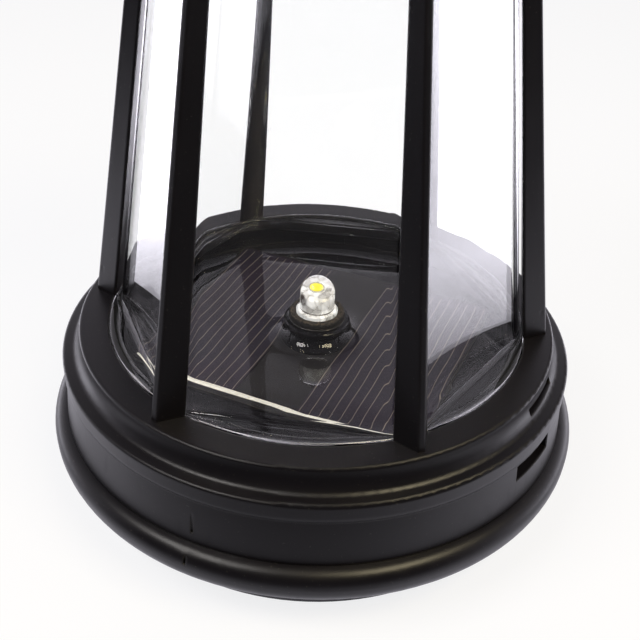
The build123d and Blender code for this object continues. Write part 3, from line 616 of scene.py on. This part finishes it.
# ---- clear liner: moulded hexagonal wall with thick corners ---------------------------------------
LINER_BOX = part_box("clear_liner")
LINER_FOOT = LINER_BOX[0].z
LINER_HEAD = LINER_BOX[1].z
LINER_FLANGE_R = LINER_BOX[1].x
LINER_FLANGE_TOP = DECK_TOP - 0.1 * MM
LINER_WALL = 1.2 * MM
LINER_LEAN = 0.156
LINER_LEAN_HEIGHT = 74 * MM
FOOT_REACH = 29.37 * MM
HEAD_REACH = FOOT_REACH - LINER_LEAN * LINER_LEAN_HEIGHT
OUTER_CORNER = (5.7 * MM, 3.0 * MM)
INNER_CORNER = (4.0 * MM, 2.0 * MM)
BEAD_HALF = 0.75 * MM
BEAD_RISE = 0.42 * MM
BEAD_LAP = 0.2 * MM
FOOT_FILLET = 0.9 * MM
FOOT_SPARE = 0.15 * MM
FOOT_STEPS = 14
LINER_STEPS = 720
LINER_ROWS = 44
LINER_EDGE = 0.15 * MM
LINER_RIPPLE = 0.03 * MM


def hexagon_radius(angle, apothem, corner):
    """Distance from the axis to a rounded hexagon whose corners face 0, 60, ... degrees."""
    off = abs((angle + math.pi / 6) % (math.pi / 3) - math.pi / 6)
    centre = (apothem - corner) / math.cos(math.pi / 6)
    touch = math.atan2(corner * math.sin(math.pi / 6), centre + corner * math.cos(math.pi / 6))
    if off > touch:
        return apothem / math.cos(math.pi / 6 - off)
    return centre * math.cos(off) + math.sqrt(corner ** 2 - (centre * math.sin(off)) ** 2)


def liner_wall(angle, height, inside):
    """Radius of the liner's outer or inner face at an angle and a height."""
    share = (height - LINER_FOOT) / (LINER_HEAD - LINER_FOOT)
    reach = FOOT_REACH + (HEAD_REACH - FOOT_REACH) * share
    outer = OUTER_CORNER[0] + (OUTER_CORNER[1] - OUTER_CORNER[0]) * share
    apothem = (reach - outer) * math.cos(math.pi / 6) + outer
    if not inside:
        return hexagon_radius(angle, apothem, outer)
    corner = INNER_CORNER[0] + (INNER_CORNER[1] - INNER_CORNER[0]) * share
    spot = Vector((math.cos(angle) * 3.2, math.sin(angle) * 3.2, height / (26 * MM)))
    ripple = noise.noise(spot) * LINER_RIPPLE
    return hexagon_radius(angle, apothem - LINER_WALL, corner) - ripple


def foot_rings(angles):
    """Bead along the flange's rim and fillet at the wall. Both fade out where the corners leave no room."""
    rim = LINER_FLANGE_R + BEAD_LAP
    room = 2 * BEAD_HALF + FOOT_FILLET + FOOT_SPARE
    shares = [min(1.0, (rim - liner_wall(a, LINER_FLANGE_TOP, False)) / room) for a in angles]
    rings = []
    for step in range(FOOT_STEPS + 1):
        turn = math.pi * step / FOOT_STEPS
        inward = BEAD_HALF * (1 - math.cos(turn))
        lift = BEAD_RISE * math.sin(turn)
        rings.append([(rim - inward * share, a, LINER_FLANGE_TOP + lift * share)
                      for a, share in zip(angles, shares)])
    for step in range(FOOT_STEPS + 1):
        turn = math.radians(90 * step / FOOT_STEPS)
        ring = []
        for a, share in zip(angles, shares):
            z = LINER_FLANGE_TOP + FOOT_FILLET * share * (1 - math.cos(turn))
            off = 0.02 * MM + FOOT_FILLET * share * (1 - math.sin(turn))
            ring.append((liner_wall(a, z, False) + off, a, z))
        rings.append(ring)
    return rings


def make_liner():
    """Wall, head and foot flange as one closed mesh. Its rows lie closer together near the foot."""
    angles = [2 * math.pi * index / LINER_STEPS for index in range(LINER_STEPS)]
    low = LINER_FLANGE_TOP + FOOT_FILLET + 0.05 * MM
    tall = LINER_HEAD - LINER_EDGE - low
    heights = [low + tall * (row / LINER_ROWS) ** 1.25 for row in range(LINER_ROWS + 1)]
    rings = [[(LINER_FLANGE_R, a, LINER_FOOT) for a in angles]]
    rings.append([(LINER_FLANGE_R, a, LINER_FLANGE_TOP - LINER_EDGE) for a in angles])
    rings += foot_rings(angles)
    rings += [[(liner_wall(a, z, False), a, z) for a in angles] for z in heights]
    rings.append([(liner_wall(a, LINER_HEAD, False) - LINER_EDGE, a, LINER_HEAD) for a in angles])
    rings.append([(liner_wall(a, LINER_HEAD, True) + LINER_EDGE, a, LINER_HEAD) for a in angles])
    rings += [[(liner_wall(a, z, True), a, z) for a in angles] for z in reversed(heights)]
    rings.append([(liner_wall(a, LINER_FOOT, True) + 0.1 * MM, a, LINER_FOOT + LINER_EDGE) for a in angles])
    rings.append([(liner_wall(a, LINER_FOOT, True) + 0.3 * MM, a, LINER_FOOT) for a in angles])
    bm = bmesh.new()
    loops = [[bm.verts.new((r * math.cos(a), r * math.sin(a), z)) for r, a, z in ring] for ring in rings]
    close_loops(bm, loops + loops[:1], LINER_STEPS)
    piece = add_piece("liner_glass", mesh_from(bm, "liner_glass"), "clear_plastic", smooth_deg=50)
    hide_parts("clear_liner")


# ---- potting resin: glossy pool with menisci -----------------------------------------------------
MENISCUS_LENGTH = 1.6 * MM
HOLDER_MENISCUS = 1.1 * MM
HOLDER_CLIMB = 1.5 * MM
WALL_CLIMB = 0.75 * MM
HOLDER_WET_R = 4.3 * MM
RESIN_SINK = 0.12 * MM
RESIN_SLOW_WAVE = 0.050 * MM
RESIN_FINE_WAVE = 0.010 * MM
RESIN_HOLE_R = 4.0 * MM
RESIN_OUTER_R = RESIN_R + 0.05 * MM
RESIN_STEPS = 240
RESIN_FINE_ROW = 0.16 * MM
RESIN_WIDE_ROW = 0.36 * MM
RESIN_FINE_ROWS = 26
RESIN_WALL_ZONE = 5.0 * MM


def resin_height(x, y):
    """Top of the resin: level, drawn up at the collar and at the wall, with slow waves."""
    radius = math.hypot(x, y)
    climb = HOLDER_CLIMB * math.exp(-max(radius - HOLDER_WET_R, 0) / HOLDER_MENISCUS)
    wall = WALL_CLIMB * math.exp(-max(RESIN_R - radius, 0) / MENISCUS_LENGTH)
    slow = noise.noise(Vector((x / (11 * MM), y / (11 * MM), 0.3))) * RESIN_SLOW_WAVE
    fine = noise.noise(Vector((x / (4.2 * MM), y / (4.2 * MM), 5.1))) * RESIN_FINE_WAVE
    return RESIN_TOP - RESIN_SINK + climb + wall + slow + fine


def resin_radii():
    """Radii of the rings of the resin's top: close together at the collar and at the wall."""
    radii = [RESIN_HOLE_R + RESIN_FINE_ROW * i for i in range(RESIN_FINE_ROWS)]
    while radii[-1] < RESIN_OUTER_R - RESIN_WALL_ZONE:
        radii.append(radii[-1] + RESIN_WIDE_ROW)
    while radii[-1] < RESIN_OUTER_R - RESIN_FINE_ROW:
        radii.append(radii[-1] + RESIN_FINE_ROW)
    radii[-1] = RESIN_OUTER_R
    return radii


def make_resin():
    """The resin as one closed ring-shaped mesh, with a flat bottom that laps a little into the board."""
    low = RESIN_LOW - 0.1 * MM
    turns = [2 * math.pi * index / RESIN_STEPS for index in range(RESIN_STEPS)]
    bm = bmesh.new()
    rings = []
    for radius in resin_radii():
        spots = [(radius * math.cos(t), radius * math.sin(t)) for t in turns]
        rings.append([bm.verts.new((x, y, resin_height(x, y))) for x, y in spots])
    for radius in (RESIN_OUTER_R, RESIN_HOLE_R):
        rings.append([bm.verts.new((radius * math.cos(t), radius * math.sin(t), low)) for t in turns])
    close_loops(bm, rings + rings[:1], RESIN_STEPS)
    piece = add_piece("resin_fill", mesh_from(bm, "resin_fill"), "clear_resin")
    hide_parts("panel_resin")


# ---- finger lines on the cells -------------------------------------------------------------------
FINGER_PITCH = 1.4 * MM
FINGERS_PER_CELL = 12
FINGER_HALF = 0.038 * MM
FINGER_END_GAP = 0.4 * MM
FINGER_DRIFT = 0.04
FINGER_WANDER = 0.22 * MM
FINGER_STEPS = 40


def panel_point(along, across):
    """Point of the turned panel: along runs with the busbar, across runs with the fingers."""
    c = math.cos(PANEL_TURN)
    s = math.sin(PANEL_TURN)
    return Vector((along * c - across * s, along * s + across * c))


def make_fingers():
    """Fine printed silver lines across both cells, each drifting and wandering a little."""
    rng = random.Random(SEED)
    bm = bmesh.new()
    half_length = CELL_LENGTH / 2 - FINGER_END_GAP
    for side in (-1, 1):
        middle = side * (CELL_GAP + CELL_WIDTH) / 2
        for index in range(FINGERS_PER_CELL):
            along = middle + (index - (FINGERS_PER_CELL - 1) / 2) * FINGER_PITCH
            drift = rng.uniform(-FINGER_DRIFT, FINGER_DRIFT) * MM
            points = []
            for step in range(FINGER_STEPS + 1):
                across = half_length * (2 * step / FINGER_STEPS - 1)
                wander = noise.noise(Vector((along / (9 * MM), across / (7 * MM), 2.0))) * FINGER_WANDER
                points.append(panel_point(along + drift + wander, across))
            strip_along(bm, points, FINGER_HALF, CELL_TOP - 0.01 * MM, CELL_TOP + 0.02 * MM)
    material = tinned_metal("finger_silver", (0.50, 0.44, 0.36), 0.42, 0.35)
    add_piece("cell_fingers", mesh_from(bm, "cell_fingers"), "silver_metal", material)


# ---- busbar: soldered ribbon, thick at one end ---------------------------------------------------
RIBBON_WIDE = 0.50 * MM
RIBBON_NARROW = 0.30 * MM
RIBBON_RISE = 0.24 * MM
RIBBON_FROM_EDGE = 0.6 * MM
# Painted glow of the ribbon: emission that stands in for the light it catches; it is no lamp.
RIBBON_PAINTED_GLOW = 0.42
RIBBON_STEPS = 120
RIBBON_SPOTS = 8


def make_busbar():
    """Tinned ribbon along the near edge of both cells: domed, uneven, tapering towards +X."""
    bm = bmesh.new()
    half_length = CELL_WIDTH + CELL_GAP / 2
    rows = []
    for step in range(RIBBON_STEPS + 1):
        share = step / RIBBON_STEPS
        along = half_length * (2 * share - 1)
        half = RIBBON_WIDE + (RIBBON_NARROW - RIBBON_WIDE) * share ** 0.7
        half *= 1 + 0.16 * noise.noise(Vector((share * 17, 0.4, 0)))
        half *= min(1.0, 0.35 + min(share, 1 - share) * 40)
        middle = -CELL_LENGTH / 2 + RIBBON_FROM_EDGE + noise.noise(Vector((share * 6, 2.7, 0))) * 0.06 * MM
        lump = 0.05 * MM * noise.noise(Vector((share * 45, 7.1, 0)))
        row = []
        for spot in range(RIBBON_SPOTS + 1):
            off = 2 * spot / RIBBON_SPOTS - 1
            place = panel_point(along, middle + off * half)
            rise = math.sqrt(1 - off * off) * (RIBBON_RISE + lump)
            row.append(bm.verts.new((place.x, place.y, CELL_TOP + rise)))
        rows.append(row)
    for first, second in zip(rows, rows[1:]):
        for spot in range(RIBBON_SPOTS):
            bm.faces.new((first[spot], second[spot], second[spot + 1], first[spot + 1]))
        bm.faces.new((first[-1], second[-1], second[0], first[0]))
    bm.faces.new(rows[0])
    bm.faces.new(list(reversed(rows[-1])))
    # Painted glow: the ribbon's emission stands in for the light it catches.
    material = tinned_metal("ribbon_silver", (0.98, 0.96, 0.86), 0.36, 0.20, RIBBON_PAINTED_GLOW)
    piece = add_piece("solder_ribbon", mesh_from(bm, "solder_ribbon"), "silver_metal", material)
    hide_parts("cell_busbar")


# ---- LED: lens, frame with reflector cup, phosphor -----------------------------------------------
CUP_AXIS_X = -0.12 * MM
CUP_TOP = LED_DOME_Z + 0.55 * MM
CUP_R = 0.80 * MM
CUP_STEPS = 40
LEAD_X = 1.27 * MM
LEAD_HALF = 0.25 * MM
DOME_STEPS = 28
LENS_STEPS = 96
CORE_STEPS = 72
DROP_STEPS = 6
DROP_SIDES = 32
COLLAR_STEPS = 180
COLLAR_ROUGH_FROM = 3.2 * MM
COLLAR_ROUGH_DOWN_TO = 3 * MM
BLOCK_ROUNDING = 0.18
CORE_GLOW = 0.75
CORE_RING_Z = LENS_LOW + 1.05 * MM
PATCH_SPOT = (-1.75 * MM, -1.25 * MM, LED_DOME_Z - 0.6 * MM)


def make_led_lens():
    """Round lens: flange with soft edges, straight wall and a half-round dome."""
    flange_top = LENS_LOW + 0.9 * MM
    profile = [(0, LENS_LOW), (LED_FLANGE_R - 0.15 * MM, LENS_LOW), (LED_FLANGE_R, LENS_LOW + 0.15 * MM)]
    profile += [(LED_FLANGE_R, flange_top - 0.2 * MM), (LED_FLANGE_R - 0.15 * MM, flange_top - 0.03 * MM)]
    profile += [(LED_R + 0.12 * MM, flange_top), (LED_R, flange_top + 0.12 * MM)]
    profile += [(LED_R * math.cos(t), LED_DOME_Z + LED_R * math.sin(t))
                for t in (math.radians(90 * i / DOME_STEPS) for i in range(DOME_STEPS))]
    profile += [(0, LENS_TOP)]
    piece = add_piece("led_dome", mesh_from(turned(profile, LENS_STEPS), "led_dome"), "led_clear")
    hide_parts("led_lens")


def box_into(bm, low, high):
    """Upright block with slightly rounded edges, added to a mesh."""
    made = bmesh.ops.create_cube(bm, size=1.0)
    size = Vector(high) - Vector(low)
    middle = (Vector(high) + Vector(low)) / 2
    bmesh.ops.scale(bm, verts=made["verts"], vec=size)
    bmesh.ops.translate(bm, verts=made["verts"], vec=middle)
    edges = list(dict.fromkeys(edge for vert in made["verts"] for edge in vert.link_edges))
    rounding = min(size) * BLOCK_ROUNDING
    bmesh.ops.bevel(bm, geom=edges, offset=rounding, segments=2, affect="EDGES", profile=0.6)


def make_led_frame():
    """Anvil with a conical reflector cup, the post beside it, and the two legs down to the board."""
    left = -LEAD_X - LEAD_HALF
    right = LEAD_X + LEAD_HALF
    bm = bmesh.new()
    box_into(bm, (left, -LEAD_HALF, LEAD_LOW), (-LEAD_X + LEAD_HALF, LEAD_HALF, CUP_TOP - 0.25 * MM))
    box_into(bm, (LEAD_X - LEAD_HALF, -LEAD_HALF, LEAD_LOW), (right, LEAD_HALF, CUP_TOP + 0.05 * MM))
    box_into(bm, (left, -0.5 * MM, CUP_TOP - 1.7 * MM), (0.45 * MM, 0.5 * MM, CUP_TOP - 0.75 * MM))
    box_into(bm, (0.72 * MM, -0.4 * MM, CUP_TOP - 1.5 * MM), (right, 0.4 * MM, CUP_TOP - 0.1 * MM))
    cup = turned([
        (0, CUP_TOP - 0.85 * MM), (CUP_R * 0.75, CUP_TOP - 0.85 * MM), (CUP_R, CUP_TOP - 0.45 * MM),
        (CUP_R, CUP_TOP), (CUP_R - 0.12 * MM, CUP_TOP), (CUP_R * 0.5, CUP_TOP - 0.45 * MM),
        (0, CUP_TOP - 0.45 * MM),
    ], CUP_STEPS)
    scratch = bpy.data.meshes.new("cup")
    cup.to_mesh(scratch)
    cup.free()
    scratch.transform(Matrix.Translation((CUP_AXIS_X, 0, 0)))
    bm.from_mesh(scratch)
    bpy.data.meshes.remove(scratch)
    material = tinned_metal("frame_silver", (0.95, 0.94, 0.91), 0.30, 0.35)
    piece = add_piece("led_frame", mesh_from(bm, "led_frame"), "silver_metal", material)
    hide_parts("led_leads")


def milky_core():
    """Bright reflector and milky epoxy under the dome, faceted, with dark seams, a ring and a brown patch;
    painted light and shade make each facet lighter or darker by its tilt.

    A steady glow stands in for the hard studio light that it gathers.
    """
    s = Shader("milky_core")
    facets = s.cells(0.6, output="Color")
    tilt = s.add("ShaderNodeSeparateColor", Color=facets).outputs["Green"]
    streaks = s.noise(0.9, detail=4.0, distortion=1.2, stretch=(1, 1, 0.5))
    offset = s.add("ShaderNodeVectorMath", {"operation": "DISTANCE"})
    s.feed(offset.inputs[0], s.coords())
    offset.inputs[1].default_value = PATCH_SPOT
    near = s.remap(offset.outputs["Value"], 1.0 * MM, 0.6 * MM)
    patch = s.math("MULTIPLY", near, s.remap(streaks, 0.35, 0.5))
    seams = s.remap(s.cells(0.6, feature="DISTANCE_TO_EDGE"), 0.05, 0.0, 0.0, 0.35)
    # Painted light and shade: each facet is lighter or darker in the base colour by its tilt, and streaked.
    painted_facet_light = s.math("MULTIPLY", s.remap(streaks, 0.35, 0.6, 0.55, 1.0), s.remap(tilt, 0.1, 0.6, 0.6, 1.0))
    pale = s.blend(painted_facet_light, (0.40, 0.37, 0.33), (0.99, 0.98, 0.96))
    off_ring = s.math("ABSOLUTE", s.math("ADD", s.along("Z"), -CORE_RING_Z))
    ring = s.remap(off_ring, 0.17 * MM, 0.08 * MM, 0.0, 0.9)
    broken_ring = s.math("MULTIPLY", ring, s.remap(streaks, 0.3, 0.42))
    dark = s.math("MAXIMUM", s.math("MAXIMUM", patch, seams), broken_ring)
    color = s.blend(dark, pale, (0.085, 0.06, 0.045))
    glow = s.math("MULTIPLY", s.remap(dark, 0.0, 1.0, CORE_GLOW, 0.0), s.math("MULTIPLY", painted_facet_light, painted_facet_light))
    return s.finish(s.principled(Base_Color=color, Roughness=0.28, Metallic=0.3, Normal=s.bump(tilt, 0.12),
                                 Emission_Color=(1.0, 0.99, 0.95), Emission_Strength=glow))


def make_led_core():
    """The bright body that shows through the clear lens, from its flange up to the cup."""
    foot = [(0, 0.2), (2.75, 0.2), (2.75, 0.72), (2.28, 0.78), (2.2, 1.0), (2.28, 1.25)]
    shoulder = [(2.26, -0.3), (2.1, 0), (1.75, 0.3)]
    cup_hole = [(0.9, -0.1), (0.6, -0.3), (0, -0.3)]
    profile = [(r * MM, LENS_LOW + z * MM) for r, z in foot]
    profile += [(r * MM, LED_DOME_Z + z * MM) for r, z in shoulder]
    profile += [(r * MM, CUP_TOP + z * MM) for r, z in cup_hole]

    def uneven(point):
        out = Vector((point.x, point.y, 0))
        return out * noise.noise(point / (0.8 * MM)) * 0.04

    mesh = mesh_from(turned(profile, CORE_STEPS, uneven), "led_core")
    add_piece("led_core", mesh, "led_clear", milky_core())


def make_phosphor():
    """Drop of phosphor gel that fills the cup and stands a little proud."""
    top = CUP_TOP + 0.08 * MM
    rim = CUP_R - 0.14 * MM
    profile = [(0, CUP_TOP - 0.42 * MM), (CUP_R * 0.48, CUP_TOP - 0.42 * MM), (rim, CUP_TOP - 0.02 * MM)]
    profile += [(rim * math.cos(t), CUP_TOP + (top - CUP_TOP) * math.sin(t))
                for t in (math.radians(15 + 75 * i / DROP_STEPS) for i in range(DROP_STEPS))]
    profile += [(0, top)]
    mesh = mesh_from(turned(profile, DROP_SIDES), "led_phosphor")
    mesh.transform(Matrix.Translation((CUP_AXIS_X, 0, 0)))
    piece = add_piece("led_phosphor", mesh, "phosphor")
    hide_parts("led_chip")


def make_collar():
    """Rubber grommet that holds the LED: ragged rim, wide glossy flange, waist and a wet foot."""
    top = HOLDER_TOP
    low = HOLDER_BOX[0].z
    seat = top - 0.6 * MM
    base_r = HOLDER_BOX[1].x
    stem_r = 3.4 * MM
    bore_r = 2.4 * MM
    seat_r = 3.12 * MM
    flange_half = 0.45 * MM
    rim = [(3.12, -0.12), (3.3, -0.06), (3.65, -0.06), (3.92, -0.12), (4.06, -0.3), (4.1, -0.65),
           (4.08, -1.0), (4.2, -1.14), (4.6, -1.2)]
    waist = [(4.45, -2.5), (4.25, -2.75), (4.2, -3.1), (4.2, -3.6), (4.4, -4.0)]
    outline = [(r * MM, top + z * MM) for r, z in rim]
    outline += arc_points(base_r - flange_half, top - 1.75 * MM, flange_half, 60, -60, 8)
    outline += [(r * MM, top + z * MM) for r, z in waist]
    outline += [(base_r, RESIN_TOP - 0.3 * MM), (base_r, RESIN_LOW), (stem_r, RESIN_LOW), (stem_r, low)]
    outline += [(bore_r, low), (bore_r, seat), (seat_r, seat)]

    def rough_rim(point):
        near_rim = max(0.0, 1 - (top - point.z) / RIM_DEPTH)
        radius = math.hypot(point.x, point.y)
        if radius < COLLAR_ROUGH_FROM or point.z < top - COLLAR_ROUGH_DOWN_TO:
            return Vector((0, 0, 0))
        wide = noise.noise(point / (1.9 * MM)) * 0.07 * MM
        lump = noise.noise(point / (0.55 * MM)) * 0.09 * MM + noise.noise(point / (0.22 * MM)) * 0.04 * MM
        out = Vector((point.x, point.y, 0)).normalized()
        return out * (wide - 0.05 * MM) + (out * lump * 0.7 - Vector((0, 0, abs(lump)))) * near_rim

    mesh = mesh_from(turned(outline, COLLAR_STEPS, rough_rim), "led_collar")
    piece = add_piece("led_collar", mesh, "black_rubber", dusty_rubber())
    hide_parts("led_holder")


# ---- stage and light -------------------------------------------------------------------------------
PALE = 0.965
FLOOR_R = 6.0
FLOOR_GLOW = 0.83
THROUGH_GLASS = 1.25
FRONT_DARK_NEAR = -33 * MM
FRONT_DARK_FAR = -70 * MM
FRONT_DARK = 0.10
FRONT_LIGHT = 1.05
SIDE_BRIGHT_FROM = 72 * MM
SIDE_BRIGHT_FULL = 120 * MM
SIDE_BRIGHT = 4.0
SIDE_BRIGHT_NEAR = -14 * MM
SIDE_BRIGHT_BACK = 4 * MM
ROOM_DARK = 0.06
ROOM_WHITE = 1.1
ROOM_TURNS_FROM = -0.30
ROOM_TURNS_TO = 0.35
ROOM_ASIDE = 0.22
CEILING_FROM = 0.12
CEILING_TO = 0.72
CEILING_LEFT = 0.14
ROOM_LEAST = 0.03
LAMP_AIM = (0, 0, 0.03)
LAMP_SIZE = (0.29, 0.18)


def direct_sight(s):
    """1 for direct sight, THROUGH_GLASS for sight through something clear, 0 for reflections and light."""
    path = s.tree.nodes.new("ShaderNodeLightPath")
    bounces = s.math("ADD", path.outputs["Glossy Depth"], path.outputs["Diffuse Depth"])
    through = s.math("MULTIPLY", path.outputs["Is Transmission Ray"], THROUGH_GLASS)
    eye = s.math("MAXIMUM", path.outputs["Is Camera Ray"], through)
    return s.math("MULTIPLY", eye, s.math("LESS_THAN", bounces, 0.5))


def make_floor():
    """Pale lit table, clear from below. Gloss sees it dark in front of the lantern and bright beside it."""
    s = Shader("pale_floor")
    place = s.add("ShaderNodeNewGeometry").outputs["Position"]
    y = s.add("ShaderNodeSeparateXYZ", Vector=place).outputs["Y"]
    radius = s.add("ShaderNodeVectorMath", {"operation": "LENGTH"})
    s.feed(radius.inputs[0], place)
    front = s.remap(y, FRONT_DARK_FAR, FRONT_DARK_NEAR, FRONT_DARK, FRONT_LIGHT)
    aside = s.remap(radius.outputs["Value"], SIDE_BRIGHT_FROM, SIDE_BRIGHT_FULL, 0.0, SIDE_BRIGHT - 1.0)
    side = s.math("ADD", s.math("MULTIPLY", aside, s.remap(y, SIDE_BRIGHT_NEAR, SIDE_BRIGHT_BACK)), 1.0)
    seen = direct_sight(s)
    unseen = s.math("LESS_THAN", seen, 0.5)
    glow = s.math("ADD", seen, s.math("MULTIPLY", unseen, s.math("MULTIPLY", front, side)))
    paper = s.remap(s.noise(0.02, detail=3.0), 0.3, 0.7, 0.97, 1.0)
    color = s.blend(seen, (0.02, 0.02, 0.02), s.blend(paper, (0.19, 0.19, 0.193), (0.20, 0.20, 0.203)))
    tint = s.blend(seen, (0.98, 0.955, 1.06), (0.985, 0.988, 1.0))
    strength = s.math("MULTIPLY", glow, FLOOR_GLOW)
    shader = s.principled(Base_Color=color, Roughness=0.9, Specular_IOR_Level=0.0, Emission_Color=tint,
                          Emission_Strength=strength)
    under = s.tree.nodes.new("ShaderNodeMixShader")
    s.feed(under.inputs[0], s.add("ShaderNodeNewGeometry").outputs["Backfacing"])
    s.feed(under.inputs[1], shader)
    s.feed(under.inputs[2], s.add("ShaderNodeBsdfTransparent").outputs["BSDF"])
    material = s.finish(under.outputs[0])
    bm = bmesh.new()
    bmesh.ops.create_circle(bm, cap_ends=True, segments=96, radius=FLOOR_R)
    mesh = mesh_from(bm, "floor")
    mesh.materials.append(material)
    floor = bpy.data.objects.new("floor", mesh)
    floor.location = (0, 0, cad_low.z)
    bpy.context.scene.collection.objects.link(floor)


def make_world():
    """White studio behind the lantern, a darker room in front of it. The eye itself sees plain white."""
    world = bpy.data.worlds.new("studio")
    world.use_nodes = True
    bpy.context.scene.world = world
    s = Shader("studio", world.node_tree)
    way = s.add("ShaderNodeSeparateXYZ", Vector=s.add("ShaderNodeTexCoord").outputs["Generated"])
    aside = s.math("MULTIPLY", s.math("ABSOLUTE", way.outputs["X"]), ROOM_ASIDE)
    depth = s.math("ADD", way.outputs["Y"], aside)
    white = s.remap(depth, ROOM_TURNS_FROM, ROOM_TURNS_TO, ROOM_DARK, ROOM_WHITE)
    top = s.remap(way.outputs["Z"], CEILING_FROM, CEILING_TO, 1.0, CEILING_LEFT)
    light = s.math("ADD", s.math("MULTIPLY", white, top), ROOM_LEAST)
    seen = direct_sight(s)
    strength = s.math("MAXIMUM", light, s.math("MULTIPLY", seen, PALE))
    tint = s.blend(seen, (1.0, 0.955, 1.06), (1.0, 1.0, 1.0))
    back = s.add("ShaderNodeBackground", Color=tint, Strength=strength).outputs["Background"]
    out = s.tree.nodes.new("ShaderNodeOutputWorld")
    s.feed(out.inputs["Surface"], back)


def area_lamp(name, place, aim, size, power, color):
    """Soft rectangular lamp that faces a point."""
    data = bpy.data.lights.new(name, "AREA")
    data.shape = "RECTANGLE"
    data.size = size[0]
    data.size_y = size[1]
    data.energy = power
    data.color = color
    lamp = bpy.data.objects.new(name, data)
    bpy.context.scene.collection.objects.link(lamp)
    lamp.location = place
    lamp.rotation_mode = "QUATERNION"
    lamp.rotation_quaternion = (Vector(aim) - Vector(place)).to_track_quat("-Z", "Y")


def make_lights():
    """Two softboxes above the front: a warm one at the right and a plain one at the left."""
    area_lamp("warm_softbox", (0.25, -0.20, 0.48), LAMP_AIM, LAMP_SIZE, 1.6, (1.0, 0.87, 0.58))
    area_lamp("plain_softbox", (-0.25, -0.22, 0.46), LAMP_AIM, LAMP_SIZE, 1.4, (1.0, 0.96, 0.93))


# ---- build -------------------------------------------------------------------------------------------
make_camera()
make_floor()
make_world()
make_lights()
dress_cad_nodes()
make_liner()
make_resin()
make_fingers()
make_busbar()
make_led_lens()
make_led_frame()
make_led_core()
make_phosphor()
make_collar()

bpy.context.scene.view_settings.view_transform = "Standard"
